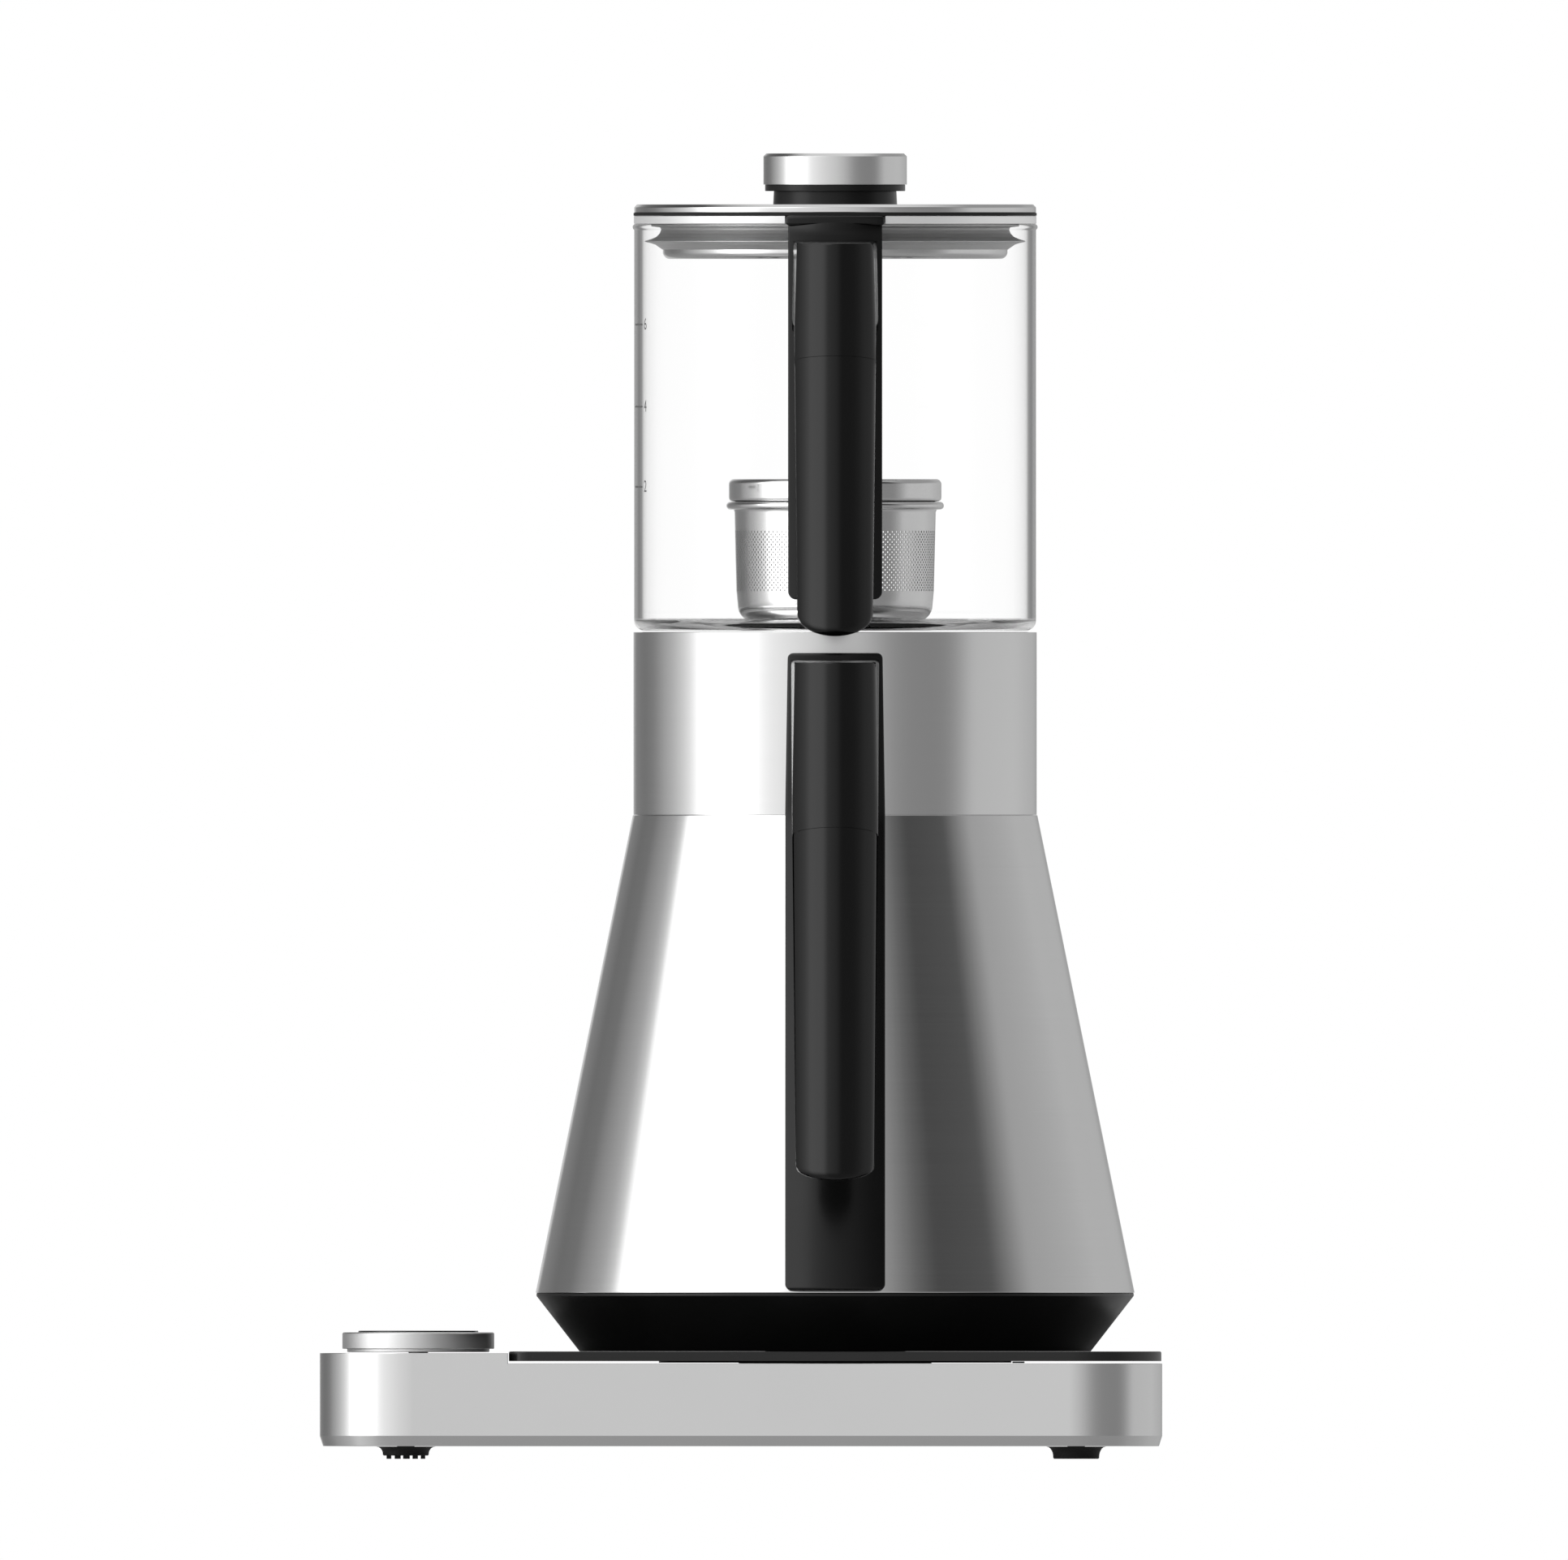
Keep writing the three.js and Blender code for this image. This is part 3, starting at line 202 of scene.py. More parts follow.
def surface(name, shape, uniform):
    """A Principled material from the uniform values and from what shape(finish) gives for each socket."""
    material = bpy.data.materials.new(name)
    finish = Finish(material)
    finish.shown(finish.node("ShaderNodeBsdfPrincipled", {**uniform, **shape(finish)}))
    return material


def mixed(finish, tone_a, tone_b, factor):
    """A colour between two."""
    return finish.node("ShaderNodeMix", {0: factor, 6: tone_a, 7: tone_b}, 2, data_type="RGBA")


# Shapes

def section(node):
    """A turned node's outline on its +X side, as [radius, height] points, and whether it closes."""
    axis = middle(node)
    mesh = bmesh.new()
    mesh.from_mesh(frame["nodes"][node].data)
    bmesh.ops.remove_doubles(mesh, verts=mesh.verts, dist=0.001 * MM)
    beside_seam = axis + Vector((TINY, 0.02 * MM, 0))
    for normal, clear_far in (((0, 1, 0), True), ((1, 0, 0), False)):
        geometry = mesh.verts[:] + mesh.edges[:] + mesh.faces[:]
        bmesh.ops.bisect_plane(mesh, geom=geometry, plane_co=beside_seam, plane_no=normal,
                               clear_inner=True, clear_outer=clear_far)
    ends = [vertex for vertex in mesh.verts if len(vertex.link_edges) == 1]
    here = ends[0] if ends else mesh.verts[:][0]
    walked, outline = set(), [here]
    while True:
        onward = [edge for edge in here.link_edges if edge not in walked]
        if not onward:
            break
        walked.add(onward[0])
        here = onward[0].other_vert(here)
        outline.append(here)
    points = [Vector((vertex.co.x - axis.x, vertex.co.z)) for vertex in outline]
    mesh.free()
    closes = not ends
    if closes:
        points.pop()
    return straightened(points, closes), closes


def straightened(points, closes):
    """The points without those that lie on a straight line between their neighbours."""
    points = [point for index, point in enumerate(points)
              if (point - points[index - 1]).length > 0.01 * MM or not closes and index == 0]
    if not closes:
        points[0].x = points[-1].x = 0
    kept = []
    for index, point in enumerate(points):
        into, out = point - points[index - 1], points[(index + 1) % len(points)] - point
        is_end = not closes and index in (0, len(points) - 1)
        if is_end or abs(into.x * out.y - into.y * out.x) > 0.002 * into.length * out.length:
            kept.append(point)
    return kept


def eased(points, closes, edge):
    """The outline with each corner rounded by the edge radius, or by as much as its two sides allow."""
    points = [Vector(point) for point in points]
    points = [point for index, point in enumerate(points)
              if not index or (point - points[index - 1]).length > TINY]
    made = []
    for index, point in enumerate(points):
        into, out = point - points[index - 1], points[(index + 1) % len(points)] - point
        is_end = not closes and index in (0, len(points) - 1)
        turn = 0 if is_end else abs(into.angle_signed(out))
        if turn < math.radians(12):
            made.append(point)
            continue
        reach = min(edge * math.tan(turn / 2), into.length / 2.2, out.length / 2.2)
        start, end = point - into.normalized() * reach, point + out.normalized() * reach
        made += bend(start, point, end, EDGE_STEPS)
    return made


def bend(start, corner, end, steps):
    """Points along the curve that starts and ends on the two sides of a corner."""
    shares = [step / steps for step in range(steps + 1)]
    return [start.lerp(corner, share).lerp(corner.lerp(end, share), share) for share in shares]


def arc(x, y, radius, start, end, steps):
    """Points round a centre, by angles in degrees from +X."""
    turns = [math.radians(start + (end - start) * step / steps) for step in range(steps + 1)]
    return [(x + radius * math.cos(turn), y + radius * math.sin(turn)) for turn in turns]


def spun(points, closes, axis, steps=ROUND_STEPS):
    """The closed surface that an outline sweeps round a vertical axis."""
    mesh = bmesh.new()
    turns = [math.tau * step / steps for step in range(steps)]
    rings = []
    for radius, height in map(Vector, points):
        ring = [(axis.x + radius * math.cos(turn), axis.y + radius * math.sin(turn), height)
                for turn in turns]
        if abs(radius) < 0.01 * MM:
            ring = [(axis.x, axis.y, height)]
        rings.append([mesh.verts.new(place) for place in ring])
    for lower, upper in zip(rings, rings[1:] + (rings[:1] if closes else [])):
        for step in range(steps):
            onward = (step + 1) % steps
            corners = [lower[step % len(lower)], lower[onward % len(lower)],
                       upper[onward % len(upper)], upper[step % len(upper)]]
            corners = list(dict.fromkeys(corners))
            if len(corners) > 2:
                mesh.faces.new(corners)
    return mesh


def lofted(loops):
    """A closed surface through loops that hold the same number of points each."""
    mesh = bmesh.new()
    rows = [[mesh.verts.new(point) for point in loop] for loop in loops]
    count = len(rows[0])
    for lower, upper in zip(rows, rows[1:]):
        for index in range(count):
            onward = (index + 1) % count
            mesh.faces.new((lower[index], lower[onward], upper[onward], upper[index]))
    mesh.faces.new(rows[0])
    mesh.faces.new(rows[-1])
    return mesh


def turned(node, edge, steps=ROUND_STEPS):
    """A node's own outline, with eased edges, turned finely."""
    points, closes = section(node)
    return spun(eased(points, closes, edge), closes, middle(node), steps)


def seated(mesh, drop=0.12 * MM, rise=0.0):
    """A piece stretched a hair down, and up, to where it visibly touches what it rests on and carries."""
    points = mesh.verts if isinstance(mesh, bmesh.types.BMesh) else mesh.vertices
    heights = [point.co.z for point in points]
    foot, height = min(heights), max(heights) - min(heights)
    for point in points:
        point.co.z = foot - drop + (point.co.z - foot) * (height + drop + rise) / height
    return mesh


def plain_mesh(thing, name):
    """A Blender mesh from a bmesh, with its faces pointing outwards; a mesh stays as it is."""
    if isinstance(thing, bpy.types.Mesh):
        return thing
    bmesh.ops.recalc_face_normals(thing, faces=thing.faces)
    mesh = bpy.data.meshes.new(name)
    thing.to_mesh(mesh)
    thing.free()
    return mesh


def in_scene(name, data):
    """A new object that the scene holds."""
    made = bpy.data.objects.new(name, data)
    bpy.context.scene.collection.objects.link(made)
    return made


def worked(made):
    """A new mesh of the object with its modifiers worked in."""
    bpy.context.view_layer.update()
    return bpy.data.meshes.new_from_object(made.evaluated_get(bpy.context.evaluated_depsgraph_get()))


def taken_from(made, *helpers):
    """The worked mesh of an object that isn't kept, nor are its helpers."""
    result = worked(made)
    for unneeded in (made, *helpers):
        bpy.data.objects.remove(unneeded)
    return result


def placed(name, mesh, material, crease_degrees=34):
    """An object at the origin with smooth faces, sharp only past the crease angle."""
    mesh = plain_mesh(mesh, name)
    mesh.materials.clear()
    mesh.materials.append(material)
    made = in_scene(name, mesh)
    mesh.polygons.foreach_set("use_smooth", [True] * len(mesh.polygons))
    mesh.set_sharp_from_angle(angle=math.radians(crease_degrees))
    made.modifiers.new("even", "WEIGHTED_NORMAL").keep_sharp = True
    made.data = worked(made)
    made.modifiers.clear()
    return made


def carved(mesh, cutters, join=()):
    """The mesh with the cutters taken out of it and the joiners added."""
    body = in_scene("carving", plain_mesh(mesh, "carving"))
    tools = []
    for operation, shapes in (("UNION", join), ("DIFFERENCE", cutters)):
        for shape in shapes:
            tools.append(in_scene("tool", plain_mesh(shape, "tool")))
            step = body.modifiers.new(operation.lower(), "BOOLEAN")
            step.operation, step.object, step.solver = operation, tools[-1], "EXACT"
    return taken_from(body, *tools)


def softened(mesh, edge, angle_degrees=30):
    """The mesh with a bevel on every edge that is sharper than the angle."""
    body = in_scene("softening", plain_mesh(mesh, "softening"))
    bevel = body.modifiers.new("bevel", "BEVEL")
    bevel.width, bevel.segments, bevel.limit_method = edge, 3, "ANGLE"
    bevel.angle_limit = math.radians(angle_degrees)
    bevel.use_clamp_overlap = True
    return taken_from(body)


def dress(node, mesh, material, *others, name=None, **options):
    """A finished piece that stands for a node, and for any others, on that node's body."""
    made = added(name or f"{node}_dressed", mesh, material, node, **options)
    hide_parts(node, *others)


def added(name, mesh, material, node, **options):
    """A finished piece that rides with a node's body."""
    made = placed(name, mesh, material, **options)
    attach(made, node_body[node])
    return made


def lathe(node, material, edge, facets=ROUND_STEPS, **seat):
    """A turned node, dressed with its edges eased, and seated where it has to touch its neighbours."""
    mesh = turned(node, edge * MM, facets)
    if seat:
        mesh = seated(mesh, **{side: length * MM for side, length in seat.items()})
    dress(node, mesh, material)


def plan_of(node, left_radius, right_radius, steps):
    """A node's rectangle seen from above, as a function of its inset: its points run anticlockwise."""
    low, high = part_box(node)

    def plan(inset):
        left, right, near, far = low.x + inset, high.x - inset, low.y + inset, high.y - inset
        points = []
        for x, y, radius, side_x, side_y, start in (
                (right, near, right_radius, 1, 1, -90), (right, far, right_radius, 1, -1, 0),
                (left, far, left_radius, -1, -1, 90), (left, near, left_radius, -1, 1, 180)):
            radius -= inset
            centre = Vector((x - side_x * radius, y + side_y * radius))
            points += [centre + radius * Vector(point) for point in arc(0, 0, 1, start, start + 90, steps)]
        return points
    return plan


def level(points, height):
    return [(x, y, height) for x, y in points]


def quarter(radius):
    """Inset and rise along a quarter round, from its side to its top."""
    return [(radius - x, y) for x, y in arc(0, 0, radius, 0, 90, EDGE_STEPS)]


def box_mesh(low, high):
    mesh = bmesh.new()
    bmesh.ops.create_cube(mesh, size=1)
    low, high = Vector(low), Vector(high)
    mesh.transform(Matrix.Translation((low + high) / 2) @ Matrix.Diagonal((*(high - low), 1)))
    return mesh


def drum_mesh(centre, radius, bottom, top, steps=64, lying=False):
    """A plain cylinder for cutting, from bottom to top along Z, or along X where it lies."""
    mesh = bmesh.new()
    bmesh.ops.create_cone(mesh, cap_ends=True, segments=steps, radius1=radius, radius2=radius,
                          depth=top - bottom)
    mesh.transform(Matrix.Translation((0, 0, (bottom + top) / 2)))
    if lying:
        mesh.transform(Matrix.Rotation(math.pi / 2, 4, "Y"))
    mesh.transform(Matrix.Translation(centre))
    return mesh


def set_out(name, nodes, blank, material):
    """One piece of copies of a blank, one at the foot of each node, set out by a Geometry Nodes tree."""
    part = in_scene(f"{name}_blank", plain_mesh(blank, name))
    pattern = Pattern(name, Blank=part)
    copies = pattern.node("GeometryNodeInstanceOnPoints", {
        "Points": pattern.geometry,
        "Instance": pattern.node("GeometryNodeObjectInfo", {"Object": pattern.Blank}, "Geometry")})
    points = bpy.data.meshes.new(name)
    points.from_pydata([(middle(node).x, middle(node).y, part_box(node)[0].z) for node in nodes], [], [])
    made = pattern.baked(copies, points, material)
    bpy.data.objects.remove(part)
    dress(nodes[0], made, material, *nodes[1:], name=f"{name}_dressed")


# Finishes

def lines_round(finish, origin, fineness):
    """Fine lines that run round an upright axis, on walls and tops alike."""
    x, y, z = finish.axes(finish.place(origin))
    stretch = 18.0
    across = (z + (x * x + y * y) ** 0.5) * fineness
    return finish.noise(finish.vector(x * stretch, y * stretch, across), 1.0, 3.0, 0.6)


def spun_finish(name, tone, roughness, depth, fineness, origin=(0, 0, 0), metallic=1.0):
    """Spun or brushed steel, or a grey with a metal share: fine lines round the axis, faint smears."""
    def shape(finish):
        lines = lines_round(finish, origin, fineness)
        smears = finish.noise(finish.place(origin), 22.0, 3.0)
        return {
            "Roughness": finish.range(lines * 0.6 + smears * 0.4, 0.3, 0.7, roughness * 0.85,
                                      roughness * 1.2),
            "Base Color": mixed(finish, tone * 0.96, tone, lines),
            "Normal": finish.bump(lines, depth),
        }
    return surface(name, shape, {"Metallic": metallic})


def plastic_finish(name, tone, roughness, grain_scale, depth, level_of_gloss=0.5):
    """Moulded plastic: a fine spark-eroded grain and slightly uneven gloss."""
    def shape(finish):
        point = finish.place()
        grain = finish.noise(point, grain_scale, 2.0)
        clouds = finish.noise(point, 60.0, 2.0)
        return {
            "Base Color": mixed(finish, tone * 0.85, tone * 1.15, clouds),
            "Roughness": finish.range(clouds, 0.3, 0.7, roughness * 0.9, roughness * 1.1),
            "Normal": finish.bump(grain, depth),
        }
    return surface(name, shape, {"Specular IOR Level": level_of_gloss})


kettle_axis = middle("kettle_collar")
dial_axis = middle("dial_ring")

polished_steel = spun_finish("polished_steel", 0.78, 0.11, 0.0006 * MM, 2600.0, kettle_axis)
brushed_steel = spun_finish("brushed_steel", 0.78, 0.2, 0.0016 * MM, 3600.0, kettle_axis)
knob_metal = spun_finish("knob_metal", 0.76, 0.19, 0.0014 * MM, 5200.0, kettle_axis)
dial_metal = spun_finish("dial_metal", 0.74, 0.42, 0.003 * MM, 5200.0, dial_axis)
screw_steel = spun_finish("screw_steel", 0.6, 0.3, 0.001 * MM, 6000.0)

# These two have a metal share chosen for the greys of the photograph: real steel has a share
# of 1 and real silicone of 0
band_steel = spun_finish("band_steel", 0.85, 0.4, 0.0016 * MM, 3600.0, kettle_axis, 0.6)
silicone = spun_finish("silicone", 0.5, 0.34, 0.001 * MM, 900.0, kettle_axis, 0.7)

black_plastic = plastic_finish("black_plastic", 0.0025, 0.24, 2600.0, 0.001 * MM, 0.3)
grip_plastic = plastic_finish("grip_plastic", 0.0015, 0.16, 3000.0, 0.0006 * MM, 0.32)
skirt_plastic = plastic_finish("skirt_plastic", 0.003, 0.34, 2200.0, 0.003 * MM, 0.35)
plate_plastic = plastic_finish("plate_plastic", 0.008, 0.3, 3400.0, 0.002 * MM, 0.4)
gloss_black = plastic_finish("gloss_black", 0.004, 0.08, 4000.0, 0.0002 * MM)
rubber = plastic_finish("rubber", 0.008, 0.62, 1500.0, 0.01 * MM, 0.3)
mark_print = plastic_finish("mark_print", 0.12, 0.5, 2000.0, 0.0004 * MM, 0.2)


def silver_housing_finish():
    """Satin silver lacquer with a very fine metallic grain."""
    def shape(finish):
        point = finish.place()
        flakes = finish.noise(point, 5200.0, 1.0)
        clouds = finish.noise(point, 30.0, 2.0)
        return {
            "Base Color": mixed(finish, 0.72, 0.78, flakes),
            "Roughness": finish.range(clouds, 0.3, 0.7, 0.16, 0.2),
            "Normal": finish.bump(flakes, 0.0006 * MM),
        }
    return surface("silver_housing", shape, {"Metallic": 1.0})


def glass_finish():
    """Clear borosilicate with painted shade: a black sheet on the outer wall grows opaque where the wall is
    seen along itself, standing in for the dark edges that refraction gives; the floor refracts.
    """
    material = bpy.data.materials.new("clear_glass")
    finish = Finish(material)
    x, y, height = finish.axes(finish.place((kettle_axis.x, kettle_axis.y, 0)))
    haze = finish.noise(finish.place(), 40.0, 2.0)
    thick = finish.node("ShaderNodeBsdfPrincipled", {
        "Base Color": mixed(finish, 0.985, 0.995, haze), "Roughness": 0.0, "IOR": 1.47,
        "Transmission Weight": 1.0})
    facing = finish.node("ShaderNodeLayerWeight", {"Blend": 0.5}, "Facing")
    # Painted shade: how opaque the black sheet is, by how the wall faces the eye, darkest near grazing
    painted_edge_shade = finish.ramp(facing, ((0.46, 0.0), (0.54, 0.01), (0.6, 0.04), (0.65, 0.08), (0.69, 0.16),
                                 (0.73, 0.46), (0.78, 0.54), (0.84, 0.42), (1.0, 0.36)))
    glint = finish.ramp(facing, ((0.0, 0.01), (0.5, 0.02), (0.7, 0.05), (0.85, 0.12), (1.0, 0.3)))
    outside = finish.range((x * x + y * y) ** 0.5, 60.0 * MM, 60.6 * MM)
    # Painted shade: a black surface on the outer wall only, with the ramp's opacity, darkens the glass's
    # edges
    wall = finish.node("ShaderNodeBsdfPrincipled", {
        "Base Color": 0.0, "Roughness": 0.3, "Specular IOR Level": 0.0, "Alpha": painted_edge_shade * outside})
    gloss = finish.node("ShaderNodeBsdfPrincipled", {"Base Color": 1.0, "Roughness": 0.02, "Metallic": 1.0})
    thin = finish.node("ShaderNodeMixShader", {0: glint * outside, 1: wall, 2: gloss})
    floor_share = finish.range(height, 259.0 * MM, 258.2 * MM)
    finish.shown(finish.node("ShaderNodeMixShader", {0: floor_share, 1: thin, 2: thick}))
    return material


def circuit_finish():
    """Green board with a faint raster of tracks."""
    def shape(finish):
        x, y, _ = finish.axes(finish.place())
        tracks = finish.noise(finish.vector(x * 700.0, y * 120.0, 0.0), 1.0, 2.0) > 0.55
        return {"Base Color": mixed(finish, (0.012, 0.09, 0.03), (0.02, 0.16, 0.06), tracks)}
    return surface("circuit_board", shape, {"Roughness": 0.4})


silver_housing = silver_housing_finish()
clear_glass = glass_finish()
circuit_board = circuit_finish()


# Base

SEAT = 0.1 * MM
CLEAR = 0.3 * MM
WALL = 2.5 * MM
BASE_CORNER = 28.75 * MM
CHAMFER_RISE, CHAMFER_INSET = 3.2 * MM, 1.0 * MM
ORIGIN = Vector((0, 0, 0))


def slab_mesh(plan, bottom, top, lower_edge, upper_edge):
    """A slab whose plan is a function of its inset, with its two rims rounded."""
    loops = [level(plan(inset), bottom + lower_edge - rise) for inset, rise in quarter(lower_edge)][::-1]
    loops += [level(plan(inset), top - upper_edge + rise) for inset, rise in quarter(upper_edge)]
    return lofted(loops)


def base_housing():
    low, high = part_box("base_shell")
    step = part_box("rest_plate")[0].x - CLEAR
    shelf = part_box("plate_spacer")[0].z - SEAT
    through = 2 * high.z
    plan = plan_of("base_shell", BASE_CORNER, BASE_CORNER, 24)
    outer = lofted([level(plan(CHAMFER_INSET), low.z), level(plan(0), low.z + CHAMFER_RISE),
                    level(plan(0), high.z)])
    hollow = lofted([level(plan(WALL), -high.z), level(plan(WALL), shelf - WALL)])
    dial_room = box_mesh((low.x + BASE_CORNER / 2, low.y + BASE_CORNER / 2, shelf - 2 * WALL),
                         (step - WALL, high.y - BASE_CORNER / 2, high.z - WALL))
    above_shelf = box_mesh((step, 2 * low.y, shelf), (2 * high.x, 2 * high.y, through))
    hub, gland = middle("plate_support"), middle("cord_gland")
    gland_radius = size("cord_gland").z / 2 - 1.7 * MM
    passes = [drum_mesh((hub.x, hub.y, 0), 30 * MM, 0, through),
              drum_mesh((dial_axis.x, dial_axis.y, 0), 5 * MM, 0, through),
              drum_mesh(gland, gland_radius, -2 * WALL, 3 * WALL, lying=True)]
    return softened(carved(outer, [above_shelf, hollow, dial_room, *passes]), 0.2 * MM, angle_degrees=40)


def rest_plate():
    low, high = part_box("rest_plate")
    slab = slab_mesh(plan_of("rest_plate", 6 * MM, 28.5 * MM, 20), low.z, high.z, 0.1 * MM, 0.5 * MM)
    bore = drum_mesh((kettle_axis.x, kettle_axis.y, 0), 22.3 * MM, 0, 2 * high.z, 96)
    return softened(carved(slab, [bore]), 0.3 * MM, angle_degrees=60)


FOOT_FLANGE, FOOT_STEM, FOOT_SOLE = 3.8 * MM, 2.7 * MM, 7.1 * MM      # a height and two radii
RIBS = ((-5.2, 1.5), (-2.5, 1.9), (0.2, 2.1), (2.9, 1.7), (5.3, 1.4))     # place and width in mm
RIBBED_RADIUS = 6.4


def foot_blank(ribbed):
    """A rubber foot round the origin: its side sweeps in below the flange; the left ones stand on ribs."""
    foot = size("foot_left_near")
    sole = 1.0 * MM if ribbed else 0
    bulge = foot.x / 2 - FOOT_SOLE
    low_edge = sole + 0.6 * MM
    points = [(0, sole), (FOOT_SOLE - 0.3 * MM, sole), (FOOT_SOLE, sole + 0.3 * MM)]
    for up in (0, 0.2, 0.4, 0.6, 0.8, 0.92, 1.0):
        out = 1 - math.sqrt(1 - up * up)
        points.append((FOOT_SOLE + bulge * out, low_edge + (FOOT_FLANGE - low_edge) * up))
    points += [(FOOT_STEM, FOOT_FLANGE), (FOOT_STEM, foot.z), (0, foot.z)]
    body = spun(points, False, ORIGIN, 48)
    if not ribbed:
        return body
    ribs = []
    for place, width in RIBS:
        reach = math.sqrt(RIBBED_RADIUS ** 2 - place ** 2)
        ribs.append(box_mesh(((place - width / 2) * MM, -reach * MM, 0),
                             ((place + width / 2) * MM, reach * MM, sole + 0.4 * MM)))
    return carved(body, [], ribs)


SCREW_NODES = [f"base_screw_{number}" for number in range(1, 5)]


def screw_blank():
    """A round-headed screw with a cross recess, head down."""
    head, length = size(SCREW_NODES[0]).x / 2, size(SCREW_NODES[0]).z
    shank, under_head, pitch = 1.4 * MM, 1.9 * MM, 0.9 * MM
    points = [(0, 0), (head - 0.5 * MM, 0), (head, 0.5 * MM), (head, under_head), (shank, under_head)]
    for turn in range(int((length - 2.6 * MM) / pitch)):
        groove = 2.2 * MM + turn * pitch
        points += [(shank, groove), (shank + 0.25 * MM, groove + pitch / 2)]
    points += [(shank, length - 0.4 * MM), (0, length)]
    arm, width, depth = 1.7 * MM, 0.45 * MM, 1.1 * MM
    cross = [box_mesh((-x, -y, -depth), (x, y, depth)) for x, y in ((arm, width), (width, arm))]
    return carved(spun(points, False, ORIGIN, 24), cross)


def bottom_cover():
    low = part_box("base_bottom_cover")[0]
    corner = BASE_CORNER - WALL - CLEAR
    sheet = slab_mesh(plan_of("base_bottom_cover", corner, corner, 14), low.z, low.z + 2.2 * MM,
                      0.4 * MM, 0.1 * MM)
    cutters = []
    for node in SCREW_NODES:
        screw = Vector((middle(node).x, middle(node).y, 0))
        cutters.append(drum_mesh(screw, 3.6 * MM, 0, low.z + 1.4 * MM, 32))
        cutters.append(drum_mesh(screw, 1.7 * MM, 0, 2 * low.z + 4 * MM, 16))
    pitch, count, slot = 7 * MM, 9, Vector((1.2 * MM, 12 * MM, 0))
    for y in (-34 * MM, 34 * MM):
        for index in range(count):
            centre = Vector(((index - (count - 1) / 2) * pitch, y, 0))
            cutters.append(box_mesh(centre - slot, centre + slot + Vector((0, 0, low.z + 1.1 * MM))))
    return carved(sheet, cutters)


dress("base_shell", base_housing(), silver_housing, crease_degrees=12)
dress("rest_plate", rest_plate(), plate_plastic)
lathe("plate_support", black_plastic, 0.05, drop=0.12, rise=0.12)
dress("plate_spacer", softened(box_mesh(*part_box("plate_spacer")), 0.12 * MM), screw_steel)
lathe("base_coupler", black_plastic, 0.5, 96)
dress("base_bottom_cover", bottom_cover(), black_plastic)
lathe("dial_ring", dial_metal, 0.3)
lathe("dial_cap", gloss_black, 0.3)
set_out("feet_right", ("foot_right_far", "foot_right_near"), foot_blank(False), rubber)
set_out("feet_left", ("foot_left_far", "foot_left_near"), foot_blank(True), rubber)
set_out("base_screws", SCREW_NODES, screw_blank(), screw_steel)


# Kettle

WINDOW_HALF, WINDOW_BOTTOM, WINDOW_TOP = 14 * MM, 214.6 * MM, 241.6 * MM      # from the kettle to its spout


def with_window(mesh):
    """The wall with the window to the spout cut through it."""
    x, far = kettle_axis.x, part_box("kettle_spout")[1].y
    return carved(mesh, [box_mesh((x - WINDOW_HALF, kettle_axis.y + 50 * MM, WINDOW_BOTTOM),
                                  (x + WINDOW_HALF, far, WINDOW_TOP))])


lathe("kettle_body", polished_steel, 0.3, 240, drop=0.3)
dress("kettle_neck", with_window(turned("kettle_neck", 0.1 * MM, 240)), polished_steel)
dress("kettle_collar", with_window(seated(turned("kettle_collar", 0.12 * MM, 240))), brushed_steel)
lathe("kettle_skirt", skirt_plastic, 0.35, 200, drop=0.28)
lathe("kettle_coupler", black_plastic, 0.4, 96)
lathe("kettle_lid", polished_steel, 0.4, 200)

collar_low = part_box("kettle_collar")[0]
collar_radius = size("kettle_collar").x / 2
cone_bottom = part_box("kettle_skirt")[1].z
cone_slope = (size("kettle_body").x / 2 - collar_radius) / (collar_low.z - cone_bottom)


def spout_mesh():
    """A pouring lip: half rounds that widen upwards from a point on the collar."""
    low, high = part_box("kettle_spout")
    steps, rows = 36, 30
    half_top, reach_top = (high.x - low.x) / 2, high.y - kettle_axis.y - collar_radius
    half_foot, reach_foot, sunk = 3.6 * MM, 4.2 * MM, 0.15 * MM
    thickness = 1.2 * MM

    def edge_row(share, inset):
        half = half_foot + (half_top - half_foot) * share - inset
        reach = reach_foot + (reach_top - reach_foot) * share ** 1.08 - inset
        row = []
        for step in range(steps + 1):
            turn = math.pi * step / steps
            x = half * math.cos(turn)
            root = math.sqrt(max(collar_radius ** 2 - x * x, 0))
            y = root + sunk + (reach + collar_radius - root) * math.sin(turn) ** 0.9
            row.append((kettle_axis.x + x, kettle_axis.y + y, low.z + (high.z - low.z) * share))
        return row

    shares = [row / rows for row in range(rows + 1)]
    return lofted([edge_row(share, 0) + edge_row(share, thickness)[::-1] for share in shares])


dress("kettle_spout", spout_mesh(), polished_steel, crease_degrees=50)


# Strips behind the handles

